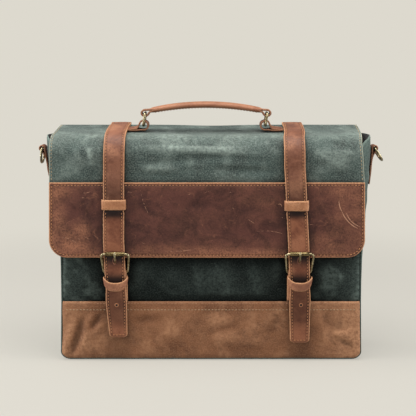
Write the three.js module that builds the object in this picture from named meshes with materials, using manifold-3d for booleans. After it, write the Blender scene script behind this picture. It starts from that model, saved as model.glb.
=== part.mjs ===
// Satchel bag: a canvas body with a leather-trimmed flap, two buckled straps,
// a rolled top handle on rings and a D-ring on each end.
// Millimetres. +X is the bag's right as seen from the front, the front faces -Y and +Z is up.
// The origin is the middle of the underside.
import * as THREE from "three";
import Module from "manifold-3d";
import { mergeVertices } from "three/addons/utils/BufferGeometryUtils.js";

const wasm = await Module();
wasm.setup();

// ---------------------------------------------------------------- driving dimensions
const GAP = 0.3; // air left between two pieces that touch

const BODY = {
  half_width: 200, // seam to seam at the base
  half_depth: 48, // to the outside of the canvas
  wall: 2, // canvas
  front_top: 268, // top edge of the front panel
  back_top: 299,
  base_band: 80, // height of the brown band
  band_wall: 1.7,
  corner: 12, // radius of the bottom corners
  swell: { left: 21, right: 14 }, // how far each end swells out near the top
  side_top: 297,
};

const FLAP = {
  centre: -5.5, // the flap lies a little to the left
  half_width: 208.5,
  lining: 0.8,
  canvas: 1.4,
  leather: 2.2,
  leather_top: 240.5,
  bottom: 141,
  corner: 24,
  back: [47.5, 307.5], // y, z of the inner surface where it leaves the back seam
  roll_start: [-22, 299.5],
  roll_end: [-49.2, 268],
};

const STRAP = {
  half_spacing: 120.3,
  width: 27.5,
  thick: 3.2,
  top_lift: 4.7, // over the flap's inner surface, with the handle tab between
  front_lift: 5.3, // over the leather panel
  split: 203, // height where the sewn part ends and the free tail starts
  tip: 30,
  tip_width: 20,
  taper_from: 78,
  hole_radius: 2,
};

const BUCKLE = {
  width: 39,
  foot_width: 35,
  bar: 3, // section of the cast frame
  bevel: 0.7,
  heel: [-53.6, 121], // y, z of the bar that the tab wraps
  roller: [-62.4, 147.5],
  roller_outer: 2.9,
  roller_inner: 2.35,
  roller_length: 24,
};

const HANDLE = {
  centre: -9,
  half_pitch: 81.5, // to the axis of each ring
  ring_low: 311.7, // axis of the ring's lower bar
  ring_height: 16.5, // between the axes of its two bars
  ring_width: 27,
  wire: 3.2,
  lean: 7.5, // degrees that both rings lean to the right
  foot: 1.4, // from the upper bars to the ends of the arched grip
  rise: 9.4,
  grip_half: 74.5,
};

const DRING = {
  wire: 3,
  width: 27,
  reach: 21, // from the hinge bar's axis to the middle of the bow
  stand_off: 5.8, // from the end panel to the hinge bar's axis
  height: 281,
  lean: { left: 5, right: 33 }, // degrees out from hanging straight down
};

// ---------------------------------------------------------------- materials
const material = (color, roughness, metalness = 0) =>
  new THREE.MeshStandardMaterial({ color, roughness, metalness });
const GREEN_CANVAS = material(0x3f4f4a, 0.85);
const BROWN_CANVAS = material(0x8a6242, 0.85);
const LEATHER = material(0x6b4234, 0.6);
const STRAP_LEATHER = material(0x7d4c33, 0.6);
const GRIP_LEATHER = material(0xb07a58, 0.65);
const LINING = material(0x1c1d1d, 0.9);
const BRASS = material(0x9a8a5c, 0.35, 1);
const FOAM = material(0x2a2c2c, 0.95);
const BOARD = material(0x4a4038, 0.8);

// ---------------------------------------------------------------- helpers
// Row axes for a flat shape: where its x, its y and its depth point.
const IN_YZ = new THREE.Matrix4().makeBasis(
  new THREE.Vector3(0, 1, 0),
  new THREE.Vector3(0, 0, 1),
  new THREE.Vector3(1, 0, 0),
);
const IN_XZ = new THREE.Matrix4().makeBasis(
  new THREE.Vector3(1, 0, 0),
  new THREE.Vector3(0, 0, 1),
  new THREE.Vector3(0, -1, 0),
);

const plain = (depth, extra = {}) => ({
  depth,
  bevelEnabled: false,
  curveSegments: 6,
  ...extra,
});

// A profile drawn in (y, z), as wide as asked along X and centred there.
function acrossX(shape, width, centre = 0, options = {}) {
  return new THREE.ExtrudeGeometry(shape, plain(width, options))
    .translate(0, 0, centre - width / 2)
    .applyMatrix4(IN_YZ);
}

// A shape drawn in (x, z), from y = from back to y = to in front.
function throughY(shape, from, to, options = {}) {
  return new THREE.ExtrudeGeometry(shape, plain(from - to, options))
    .applyMatrix4(IN_XZ)
    .translate(0, from, 0);
}

function solid(geometry) {
  const bare = new THREE.BufferGeometry().setAttribute(
    "position",
    (geometry.index ? geometry.toNonIndexed() : geometry).getAttribute("position"),
  );
  const merged = mergeVertices(bare, 1e-4);
  return new wasm.Manifold(
    new wasm.Mesh({
      numProp: 3,
      vertProperties: merged.attributes.position.array,
      triVerts: new Uint32Array(merged.index.array),
    }),
  );
}

function geometryOf(manifold) {
  const mesh = manifold.getMesh();
  return new THREE.BufferGeometry()
    .setAttribute("position", new THREE.BufferAttribute(mesh.vertProperties, 3))
    .setIndex(new THREE.BufferAttribute(mesh.triVerts, 1));
}

const cut = (geometry, ...tools) =>
  geometryOf(tools.reduce((left, tool) => left.subtract(solid(tool)), solid(geometry)));
const inside = (geometry, tool) => geometryOf(solid(geometry).intersect(solid(tool)));
const joined = (first, ...rest) =>
  geometryOf(rest.reduce((sum, next) => sum.add(solid(next)), solid(first)));

const box = (low, high) =>
  new THREE.BoxGeometry(high[0] - low[0], high[1] - low[1], high[2] - low[2]).translate(
    (low[0] + high[0]) / 2,
    (low[1] + high[1]) / 2,
    (low[2] + high[2]) / 2,
  );

function roundedRect(left, low, right, high, radius) {
  const shape = new THREE.Shape();
  shape.moveTo(left + radius, low);
  shape.lineTo(right - radius, low);
  shape.absarc(right - radius, low + radius, radius, -Math.PI / 2, 0);
  shape.lineTo(right, high - radius);
  shape.absarc(right - radius, high - radius, radius, 0, Math.PI / 2);
  shape.lineTo(left + radius, high);
  shape.absarc(left + radius, high - radius, radius, Math.PI / 2, Math.PI);
  shape.lineTo(left, low + radius);
  shape.absarc(left + radius, low + radius, radius, Math.PI, 1.5 * Math.PI);
  return shape;
}

// A panel drawn in (x, z) with square top corners and round bottom ones.
function panelShape(left, low, right, high, radius) {
  const shape = new THREE.Shape();
  shape.moveTo(left + radius, low);
  shape.lineTo(right - radius, low);
  shape.absarc(right - radius, low + radius, radius, -Math.PI / 2, 0);
  shape.lineTo(right, high);
  shape.lineTo(left, high);
  shape.absarc(left + radius, low + radius, radius, Math.PI, 1.5 * Math.PI);
  return shape;
}

// The unit normal of a path in (y, z) at point i, on the side that faces out of the bag.
function outward(points, i) {
  const before = points[Math.max(0, i - 1)];
  const after = points[Math.min(points.length - 1, i + 1)];
  const along = after.clone().sub(before).normalize();
  return new THREE.Vector2(along.y, -along.x);
}

// A sheet that follows a path in (y, z); inner and outer are its two offsets from that path.
function band(points, inner, outer, width, centre) {
  const offset = (lift) =>
    points.map((p, i) => p.clone().addScaledVector(outward(points, i), lift(p)));
  const lift = (value) => (typeof value === "function" ? value : () => value);
  const outline = [...offset(lift(inner)), ...offset(lift(outer)).reverse()];
  return acrossX(new THREE.Shape(outline), width, centre);
}

const v2 = ([y, z]) => new THREE.Vector2(y, z);

function named(name, geometry, look) {
  const mesh = new THREE.Mesh(geometry, look);
  mesh.name = name;
  return mesh;
}

const SIDES = [
  ["left", -1],
  ["right", 1],
];
const strapCentre = (side) => FLAP.centre + side * STRAP.half_spacing;

// ---------------------------------------------------------------- body
// How far an end panel swells out at this depth and height.
function bulge(label, y, z) {
  const t = THREE.MathUtils.smoothstep(z, 50, 285);
  return BODY.swell[label] * t * (1 - (y / BODY.half_depth) ** 2);
}

function bodyPanels() {
  const { half_width: w, half_depth: d, wall, band_wall, corner, base_band } = BODY;
  const lap = 20; // how far the green panel runs down behind the band
  const low = base_band - lap;
  const brown = panelShape(-w, 0, w, base_band, corner);
  return [
    named("front_panel", box([-w, -d, low], [w, -d + wall, BODY.front_top]), GREEN_CANVAS),
    named("back_panel", box([-w, d - wall, low], [w, d, BODY.back_top]), GREEN_CANVAS),
    named("front_base_panel", throughY(brown, -d - GAP, -d - GAP - band_wall), BROWN_CANVAS),
    named("back_base_panel", throughY(brown, d + GAP + band_wall, d + GAP), BROWN_CANVAS),
  ];
}

// An end panel, swollen near its open top, which dips towards the front.
function gusset(label, side) {
  const { half_width: w, half_depth: d, wall, corner, side_top } = BODY;
  const depth = 2 * (d - wall - GAP);
  const foot = corner + GAP;
  const plate = new THREE.BoxGeometry(wall, depth, side_top - foot, 1, 8, 8);
  plate.translate(side * (w - wall / 2), 0, (side_top + foot) / 2);
  const p = plate.attributes.position;
  for (let i = 0; i < p.count; i++) {
    const y = p.getY(i);
    const drop = y < 0 ? 27 : 2;
    const share = (p.getZ(i) - foot) / (side_top - foot);
    const z = p.getZ(i) - share * drop * (y / d) ** 2;
    p.setXYZ(i, p.getX(i) + side * bulge(label, y, z), y, z);
  }
  return named(`gusset_${label}`, plate, GREEN_CANVAS);
}

// The strip under the bag, turned up at both ends to meet the gussets.
function bottomPanel() {
  const { half_width: w, half_depth: d, wall, corner } = BODY;
  const shape = new THREE.Shape();
  shape.absarc(-w + corner, corner, corner, Math.PI, 1.5 * Math.PI);
  shape.absarc(w - corner, corner, corner, 1.5 * Math.PI, 2 * Math.PI);
  shape.absarc(w - corner, corner, corner - wall, 2 * Math.PI, 1.5 * Math.PI, true);
  shape.absarc(-w + corner, corner, corner - wall, 1.5 * Math.PI, Math.PI, true);
  const half = d - wall - GAP;
  return named("bottom_panel", throughY(shape, half, -half), GREEN_CANVAS);
}

function insides() {
  const { half_width: w, half_depth: d, wall } = BODY;
  const x = w - wall - 1.5;
  const y = d - wall - GAP;
  const skin = 0.8;
  const board_top = 2 * wall + GAP;
  const floor = board_top + GAP;
  const round = BODY.corner - wall;
  const lining = cut(
    throughY(panelShape(-x, floor, x, 264, round), y, -y),
    throughY(
      panelShape(-x + skin, floor + skin, x - skin, 270, round - skin),
      y - skin,
      -y + skin,
    ),
  );
  return [
    named("base_board", box([-180, -y + 1, wall + GAP], [180, y - 1, board_top]), BOARD),
    named("lining", lining, LINING),
    named("laptop_divider", box([-188, 20, floor + 1.2], [188, 28, 238]), FOAM),
    named("slip_pocket", box([-95, -y + 1.1, 96], [95, -y + 2.4, 226]), LINING),
  ];
}

// The canvas facing on the back panel that the flap is sewn to.
function yoke() {
  const { half_depth: d } = BODY;
  const low = [FLAP.centre - FLAP.half_width + 8, d + GAP, 256];
  const high = [FLAP.centre + FLAP.half_width - 8, d + GAP + FLAP.canvas, 303];
  return named("flap_yoke", box(low, high), GREEN_CANVAS);
}

// ---------------------------------------------------------------- flap
function flapPath() {
  const path = new THREE.Path();
  const [ey, ez] = FLAP.roll_end;
  path.moveTo(...FLAP.back);
  path.lineTo(...FLAP.roll_start);
  path.bezierCurveTo(-40, 297.4, ey, 286, ey, ez);
  path.lineTo(ey, FLAP.bottom);
  return path.getSpacedPoints(60);
}

const FLAP_PATH = flapPath();
const FOLD = FLAP_PATH.findIndex((p) => p.x <= -42); // the point under the front fold
// The part of the flap's path on one side of the fold, keeping clear of it.
function pathSide(side, clearance) {
  const fold = FLAP_PATH[FOLD];
  return FLAP_PATH.filter(
    (p, i) => Math.sign(i - FOLD) === side && p.distanceTo(fold) >= clearance,
  );
}
const above = (points, z) => [
  ...points.filter((p) => p.y > z),
  new THREE.Vector2(FLAP.roll_end[0], z),
];
const below = (points, z) => [
  new THREE.Vector2(FLAP.roll_end[0], z),
  ...points.filter((p) => p.y < z - 1),
];

const CANVAS_IN = FLAP.lining + GAP;
const CANVAS_OUT = CANVAS_IN + FLAP.canvas;
const LEATHER_IN = CANVAS_OUT + GAP;
const LEATHER_OUT = LEATHER_IN + FLAP.leather;

function flapTop() {
  const points = pathSide(-1, 2);
  const width = 2 * FLAP.half_width;
  return [
    named(
      "flap_top_canvas",
      band(points, CANVAS_IN, CANVAS_OUT, width, FLAP.centre),
      GREEN_CANVAS,
    ),
    named(
      "flap_top_lining",
      band(points, 0, FLAP.lining, width - 6, FLAP.centre),
      LINING,
    ),
  ];
}

function flapFront() {
  const points = pathSide(1, 2);
  const lap = 6; // canvas behind the top edge of the leather
  const width = 2 * FLAP.half_width;
  const left = FLAP.centre - FLAP.half_width;
  const right = FLAP.centre + FLAP.half_width;
  const outline = panelShape(left, FLAP.bottom, right, FLAP.leather_top, FLAP.corner);
  const inner = panelShape(left + 3, FLAP.bottom + 3, right - 3, 320, FLAP.corner);
  const sheet = (from, to, w) => band(points, from, to, w, FLAP.centre);
  return [
    named(
      "flap_front_canvas",
      band(
        above(points, FLAP.leather_top - lap),
        CANVAS_IN,
        CANVAS_OUT,
        width,
        FLAP.centre,
      ),
      GREEN_CANVAS,
    ),
    named(
      "flap_front_lining",
      inside(sheet(0, FLAP.lining, width - 6), throughY(inner, 0, -90)),
      LINING,
    ),
    named(
      "flap_leather",
      inside(
        band(below(points, 250), LEATHER_IN, LEATHER_OUT, width, FLAP.centre),
        throughY(outline, 0, -90),
      ),
      LEATHER,
    ),
  ];
}

// ---------------------------------------------------------------- straps
// The strap climbs from the canvas over the edge of the leather panel.
function strapLift(p) {
  const t = THREE.MathUtils.smoothstep(-p.y, -262, -246);
  return THREE.MathUtils.lerp(STRAP.top_lift, STRAP.front_lift, t);
}

function strapSewn(label, side) {
  const outer = (p) => strapLift(p) + STRAP.thick;
  const strip = (points) =>
    band(points, strapLift, outer, STRAP.width, strapCentre(side));
  const clearance = 7;
  return {
    top: named(`strap_top_${label}`, strip(pathSide(-1, clearance)), STRAP_LEATHER),
    front: named(
      `strap_front_${label}`,
      strip(above(pathSide(1, clearance), STRAP.split + 1.5)),
      STRAP_LEATHER,
    ),
  };
}

const FRONT_Y = FLAP.roll_end[0];
// y, z down the back of the free strap.
const TAIL = [
  [FRONT_Y - STRAP.front_lift, STRAP.split - 1.5],
  [-55.2, 160],
  [-55.9, 147],
  [-57.7, 124],
  [-57.7, 116],
  [-57.1, 84],
  [-55, STRAP.tip],
].map(v2);

function tailOutline(centre) {
  const { width, tip, tip_width, taper_from, split } = STRAP;
  const half = width / 2;
  const end = tip_width / 2;
  const round = 4;
  const shape = new THREE.Shape();
  shape.moveTo(centre - end + round, tip);
  shape.lineTo(centre + end - round, tip);
  shape.quadraticCurveTo(centre + end, tip, centre + end + 0.4, tip + round);
  shape.lineTo(centre + half, taper_from);
  shape.lineTo(centre + half, split + 9);
  shape.lineTo(centre - half, split + 9);
  shape.lineTo(centre - half, taper_from);
  shape.lineTo(centre - end - 0.4, tip + round);
  shape.quadraticCurveTo(centre - end, tip, centre - end + round, tip);
  return shape;
}

function strapTail(label, side) {
  const centre = strapCentre(side);
  const hole = (z) =>
    new THREE.CylinderGeometry(STRAP.hole_radius, STRAP.hole_radius, 30, 12).translate(
      centre,
      -58,
      z,
    );
  const slot = roundedRect(centre - 2.1, 128, centre + 2.1, 139, 2);
  const strip = band(TAIL, 0, STRAP.thick, STRAP.width, centre);
  return named(
    `strap_tail_${label}`,
    cut(
      inside(strip, throughY(tailOutline(centre), -40, -80)),
      throughY(slot, -40, -80),
      hole(80),
    ),
    STRAP_LEATHER,
  );
}

// A leather band sewn to the flap on both sides of the strap.
function keeperUpper(label, side) {
  const c = strapCentre(side);
  const wall = 1.8;
  const back = FRONT_Y - LEATHER_OUT - GAP;
  const front = FRONT_Y - STRAP.front_lift - STRAP.thick - GAP - wall;
  const half = STRAP.width / 2 + GAP;
  const low = STRAP.split + 2.5;
  const high = low + 13;
  return named(
    `keeper_upper_${label}`,
    cut(
      box([c - half - wall, front, low], [c + half + wall, back, high]),
      box([c - half, front + wall, low - 1], [c + half, back + 1, high + 1]),
    ),
    STRAP_LEATHER,
  );
}

// A loose leather loop around the strap and the tab behind it.
function keeperLower(label, side) {
  const c = strapCentre(side);
  const wall = 1.8;
  const half = STRAP.width / 2 + 0.6;
  const back = -54.3 + GAP;
  const front = -61.5;
  const shape = roundedRect(
    c - half - wall,
    front - wall,
    c + half + wall,
    back + wall,
    2.6,
  );
  shape.holes.push(roundedRect(c - half, front, c + half, back, 1));
  const height = 13.5;
  return named(
    `keeper_lower_${label}`,
    new THREE.ExtrudeGeometry(shape, plain(height, { curveSegments: 4 })).translate(
      0,
      0,
      100,
    ),
    STRAP_LEATHER,
  );
}

// ---------------------------------------------------------------- buckles
const FRAME_LENGTH = v2(BUCKLE.roller).distanceTo(v2(BUCKLE.heel));
const FRAME_TILT = Math.asin((BUCKLE.heel[0] - BUCKLE.roller[0]) / FRAME_LENGTH);

// One loop of the frame's outline in (x, z), shrunk by inset all round.
function frameLoop(Loop, inset) {
  const top = BUCKLE.width / 2 - inset;
  const foot = BUCKLE.foot_width / 2 - inset;
  const low = -BUCKLE.bar / 2 + inset;
  const high = FRAME_LENGTH + BUCKLE.bar / 2 - inset;
  const r = 6 - inset * 0.8;
  const loop = new Loop();
  loop.moveTo(-foot + r * 0.6, low);
  loop.lineTo(foot - r * 0.6, low);
  loop.quadraticCurveTo(foot, low, foot + 0.3, low + r);
  loop.lineTo(top, high - r);
  loop.quadraticCurveTo(top, high, top - r, high);
  loop.lineTo(-top + r, high);
  loop.quadraticCurveTo(-top, high, -top, high - r);
  loop.lineTo(-foot - 0.3, low + r);
  loop.quadraticCurveTo(-foot, low, -foot + r * 0.6, low);
  return loop;
}

function buckleFrame(label, side) {
  const { bevel, bar } = BUCKLE;
  const shape = frameLoop(THREE.Shape, bevel);
  shape.holes.push(frameLoop(THREE.Path, bar - bevel));
  const ring = new THREE.ExtrudeGeometry(shape, {
    depth: bar - 2 * bevel,
    bevelEnabled: true,
    bevelThickness: bevel,
    bevelSize: bevel,
    bevelSegments: 1,
    curveSegments: 5,
  })
    .translate(0, 0, bevel - bar / 2)
    .applyMatrix4(IN_XZ);
  const mesh = named(`buckle_frame_${label}`, ring, BRASS);
  mesh.position.set(strapCentre(side), ...BUCKLE.heel);
  mesh.rotation.x = FRAME_TILT;
  return mesh;
}

function circle(y, z, radius) {
  return new THREE.Shape().absarc(y, z, radius, 0, 2 * Math.PI);
}

function buckleRoller(label, side) {
  const shape = circle(...BUCKLE.roller, BUCKLE.roller_outer);
  shape.holes.push(circle(...BUCKLE.roller, BUCKLE.roller_inner));
  return named(
    `buckle_roller_${label}`,
    acrossX(shape, BUCKLE.roller_length, strapCentre(side), { curveSegments: 14 }),
    BRASS,
  );
}

// A bent tongue: an eye on the heel bar and an arm through the strap onto the roller.
function prong(label, side) {
  const spine = [BUCKLE.heel, [-54.6, 130], [-65.5, 142.2], [-67.2, 149.5]].map(v2);
  const half = 1.1;
  const eye = circle(...BUCKLE.heel, 3.1);
  const arm = spine
    .map((p, i) => p.clone().addScaledVector(outward(spine, i), -half))
    .concat(spine.map((p, i) => p.clone().addScaledVector(outward(spine, i), half)).reverse());
  const width = 3;
  const c = strapCentre(side);
  return named(
    `prong_${label}`,
    cut(
      joined(acrossX(eye, width, c), acrossX(new THREE.Shape(arm), width, c)),
      acrossX(circle(...BUCKLE.heel, 2), width + 2, c),
    ),
    BRASS,
  );
}

// The leather tab that holds the buckle; its fold is slotted for the tongue.
function buckleTab(label, side) {
  const c = strapCentre(side);
  const width = STRAP.width - 1.5;
  const [y, z] = BUCKLE.heel;
  const plate = box([c - width / 2, -56.7, 84], [c + width / 2, -54.3, z]);
  return named(
    `buckle_tab_${label}`,
    cut(
      joined(acrossX(circle(y, z, 3.6), width, c), plate),
      acrossX(circle(y, z, 2.05), width + 2, c),
      box([c - 2.2, y - 6, z - 6], [c + 2.2, y + 6, z + 6]),
    ),
    STRAP_LEATHER,
  );
}

// A disc on the strap's axis, lying against the front of the bag.
function snapHalf(name, side, radius, back, front) {
  const disc = new THREE.CylinderGeometry(radius, radius, back - front, 16);
  disc.translate(strapCentre(side), (back + front) / 2, 92.5);
  return named(name, disc, BRASS);
}

// ---------------------------------------------------------------- handle
const handleX = (side) => HANDLE.centre + side * HANDLE.half_pitch;
const LEAN = THREE.MathUtils.degToRad(HANDLE.lean);

// A rectangular wire ring in the YZ plane, its lower bar's axis at the origin.
function ringGeometry(width, height, wire, curve) {
  const w = width / 2;
  const r = wire / 2;
  const bevel = 0.9;
  const outer = roundedRect(-w + bevel, -r + bevel, w - bevel, height + r - bevel, curve);
  outer.holes.push(
    roundedRect(
      -w + wire - bevel,
      r - bevel,
      w - wire + bevel,
      height - r + bevel,
      curve - wire / 2,
    ),
  );
  return new THREE.ExtrudeGeometry(outer, {
    depth: wire - 2 * bevel,
    bevelEnabled: true,
    bevelThickness: bevel,
    bevelSize: bevel,
    bevelSegments: 1,
    curveSegments: 5,
  })
    .translate(0, 0, bevel - wire / 2)
    .applyMatrix4(IN_YZ);
}

function handleRing(label, side) {
  const { ring_width, ring_height, wire, ring_low } = HANDLE;
  const mesh = named(
    `handle_ring_${label}`,
    ringGeometry(ring_width, ring_height, wire, 4.5),
    BRASS,
  );
  mesh.position.set(handleX(side), 0, ring_low);
  mesh.rotation.y = LEAN;
  return mesh;
}

// A leather tab: an eye round the ring's lower bar and a tail that runs under the strap.
function handleTab(label, side) {
  const x = handleX(side);
  const width = 19;
  const seat = 304.9; // just clear of the flap's canvas
  const eye = 5.7;
  const inner = 3;
  const tail_end = strapCentre(side) - side * 6;
  const thin_from = strapCentre(side) - side * (STRAP.width / 2 + 1);
  const low = HANDLE.ring_low - eye;
  const thick = 4;
  const plate = (a, b, t) =>
    box([Math.min(a, b), -width / 2, low], [Math.max(a, b), width / 2, low + t]);
  const loop = throughY(circle(x, HANDLE.ring_low, eye), width / 2, -width / 2);
  const hole = throughY(circle(x, HANDLE.ring_low, inner), width, -width);
  const tab = cut(joined(loop, plate(x, thin_from, thick), plate(x, tail_end, 1.5)), hole);
  // The top of the bag slopes, so the tab is sheared to lie on it.
  const p = tab.attributes.position;
  const slope =
    (FLAP.back[1] - FLAP.roll_start[1]) / (FLAP.back[0] - FLAP.roll_start[0]);
  for (let i = 0; i < p.count; i++) {
    const hold = THREE.MathUtils.clamp(Math.abs(p.getX(i) - x) - 5, 0, 10) / 10;
    p.setZ(i, p.getZ(i) + hold * (slope * p.getY(i) + seat - low));
  }
  return named(`handle_tab_${label}`, tab, STRAP_LEATHER);
}

const HANDLE_LOW = HANDLE.ring_low + HANDLE.ring_height * Math.cos(LEAN);
const handleShift = HANDLE.ring_height * Math.sin(LEAN);
// Height of the handle's middle line at x.
function archZ(x) {
  const t = (x - HANDLE.centre - handleShift) / HANDLE.half_pitch;
  return HANDLE_LOW + HANDLE.foot + HANDLE.rise * (1 - t * t);
}

// The strip inside the grip, with an eye at each end for the rings.
function handleCoreGeometry(extra) {
  const half = 1.5 + extra;
  const width = 15 + 2 * extra;
  const reach = HANDLE.half_pitch;
  const middle = HANDLE.centre + handleShift;
  const upper = [];
  const lower = [];
  for (let i = 0; i <= 16; i++) {
    const x = middle - reach + (2 * reach * i) / 16;
    upper.push(new THREE.Vector2(x, archZ(x) + half));
    lower.push(new THREE.Vector2(x, archZ(x) - half));
  }
  return throughY(new THREE.Shape([...lower, ...upper.reverse()]), width / 2, -width / 2);
}

function handleCore() {
  const eyes = SIDES.map(([, side]) => [handleX(side) + handleShift, HANDLE_LOW]);
  const discs = eyes.map(([x, z]) => throughY(circle(x, z, 5.2), 9, -9));
  const holes = eyes.map(([x, z]) => throughY(circle(x, z, 2.8), 12, -12));
  return named(
    "handle_core",
    cut(joined(handleCoreGeometry(0), ...discs), ...holes),
    GRIP_LEATHER,
  );
}

function handleGrip() {
  const { grip_half, centre } = HANDLE;
  const tube = new THREE.CylinderGeometry(1, 1, 2 * grip_half, 20, 14);
  tube.rotateZ(Math.PI / 2);
  const p = tube.attributes.position;
  for (let i = 0; i < p.count; i++) {
    const x = p.getX(i);
    const full = 1 - 0.16 * Math.abs(x / grip_half) ** 3;
    const here = centre + handleShift + x;
    p.setXYZ(i, here, p.getY(i) * 10.5 * full, archZ(here) + p.getZ(i) * 4.4 * full);
  }
  return named("handle_grip", cut(tube, handleCoreGeometry(GAP)), GRIP_LEATHER);
}

// ---------------------------------------------------------------- D-rings
// A D in (y, z): the straight bar on the axis and the bow hanging below it.
function dShape(Loop, half, reach, radius) {
  const loop = new Loop();
  loop.moveTo(half - 1, radius);
  loop.lineTo(-half + 1, radius);
  loop.lineTo(-half, radius - 1);
  loop.lineTo(-half, -reach * 0.35);
  loop.bezierCurveTo(-half, -reach, -half * 0.55, -reach - radius, 0, -reach - radius);
  loop.bezierCurveTo(half * 0.55, -reach - radius, half, -reach, half, -reach * 0.35);
  loop.lineTo(half, radius - 1);
  return loop;
}

const dringX = (label, side) =>
  side * (BODY.half_width + BODY.swell[label] + DRING.stand_off);

function dring(label, side) {
  const { wire, width, reach, height, lean } = DRING;
  const bevel = 0.8;
  const shape = dShape(THREE.Shape, width / 2 - bevel, reach, wire / 2 - bevel);
  const hole = dShape(THREE.Path, width / 2 - wire + bevel, reach, -wire / 2 + bevel);
  shape.holes.push(hole);
  const ring = new THREE.ExtrudeGeometry(shape, {
    depth: wire - 2 * bevel,
    bevelEnabled: true,
    bevelThickness: bevel,
    bevelSize: bevel,
    bevelSegments: 1,
    curveSegments: 7,
  })
    .translate(0, 0, bevel - wire / 2)
    .applyMatrix4(IN_YZ);
  const mesh = named(`dring_${label}`, ring, BRASS);
  mesh.position.set(dringX(label, side), 0, height);
  mesh.rotation.y = -side * THREE.MathUtils.degToRad(lean[label]);
  return mesh;
}

// The leather tab on the end panel, with its eye round the D-ring's bar.
function dringTab(label, side) {
  const { height, stand_off } = DRING;
  const x = dringX(label, side);
  const width = 19;
  const low = 232;
  const loop = throughY(circle(x, height, 4.7), width / 2, -width / 2);
  const hole = throughY(circle(x, height, 2.5), width, -width);
  const inner = x - side * (stand_off - 0.9);
  const outer = x - side * 1.3;
  const plate = box(
    [Math.min(inner, outer), -width / 2, low],
    [Math.max(inner, outer), width / 2, height],
  );
  const tab = cut(joined(loop, plate), hole);
  // Its foot leans in with the end panel.
  const foot = bulge(label, 0, height) - bulge(label, 0, low);
  const p = tab.attributes.position;
  for (let i = 0; i < p.count; i++) {
    const t = Math.max(0, (height - 4.7 - p.getZ(i)) / (height - 4.7 - low));
    p.setX(i, p.getX(i) - side * foot * t);
  }
  return named(`dring_tab_${label}`, tab, STRAP_LEATHER);
}

// ---------------------------------------------------------------- assembly
const bag = new THREE.Group();
bag.add(...bodyPanels(), bottomPanel(), ...insides(), yoke(), ...flapTop(), ...flapFront());
for (const [label, side] of SIDES) {
  const sewn = strapSewn(label, side);
  bag.add(
    gusset(label, side),
    dringTab(label, side),
    dring(label, side),
    sewn.top,
    sewn.front,
    keeperUpper(label, side),
    strapTail(label, side),
    keeperLower(label, side),
    buckleFrame(label, side),
    buckleRoller(label, side),
    prong(label, side),
    buckleTab(label, side),
    snapHalf(`snap_socket_${label}`, side, 6.5, -BODY.half_depth - GAP, -51.1),
    snapHalf(`snap_stud_${label}`, side, 6, -51.4, -54.3 + GAP),
    handleTab(label, side),
    handleRing(label, side),
  );
}
bag.add(handleCore(), handleGrip());

export default bag;
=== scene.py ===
"""Satchel bag: the visual model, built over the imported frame. Lengths in this script are
millimetres in the row frame unless a name says otherwise; meshes are stored in metres."""

import math
import random

import bmesh
import bpy
import numpy as np
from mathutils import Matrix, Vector, noise


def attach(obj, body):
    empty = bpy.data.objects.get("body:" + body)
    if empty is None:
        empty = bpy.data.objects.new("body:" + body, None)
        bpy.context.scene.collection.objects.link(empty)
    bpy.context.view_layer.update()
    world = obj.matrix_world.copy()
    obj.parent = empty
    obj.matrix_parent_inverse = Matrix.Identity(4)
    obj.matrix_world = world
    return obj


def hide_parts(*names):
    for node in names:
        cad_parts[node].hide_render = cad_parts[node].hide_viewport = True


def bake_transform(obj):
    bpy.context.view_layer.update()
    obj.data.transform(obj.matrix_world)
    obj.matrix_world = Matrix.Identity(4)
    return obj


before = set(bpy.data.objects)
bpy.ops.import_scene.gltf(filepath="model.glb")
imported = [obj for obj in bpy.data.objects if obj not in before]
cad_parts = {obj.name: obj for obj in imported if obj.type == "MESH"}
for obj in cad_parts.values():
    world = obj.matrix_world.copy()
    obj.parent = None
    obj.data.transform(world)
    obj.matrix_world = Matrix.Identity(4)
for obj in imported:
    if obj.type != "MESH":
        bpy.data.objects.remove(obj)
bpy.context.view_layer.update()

MM = 0.001
SIDES = {"left": -1, "right": 1}
rng = random.Random(7)


# ------------------------------------------------------------------ node materials
def srgb(r, g, b):
    """A linear colour from 0-255 display values."""
    channels = [c / 255 for c in (r, g, b)]
    linear = [c / 12.92 if c <= 0.04045 else ((c + 0.055) / 1.055) ** 2.4 for c in channels]
    return (*linear, 1.0)


def fill(tree, node, sockets):
    """Gives each socket of a node a value, or links another node's output to it."""
    for key, value in sockets.items():
        if isinstance(value, bpy.types.NodeSocket):
            tree.links.new(value, node.inputs[key])
        else:
            node.inputs[key].default_value = value


def add_node(tree, kind, sockets=None, **settings):
    node = tree.nodes.new("ShaderNode" + kind)
    for key, value in settings.items():
        setattr(node, key, value)
    fill(tree, node, sockets or {})
    return node


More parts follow.
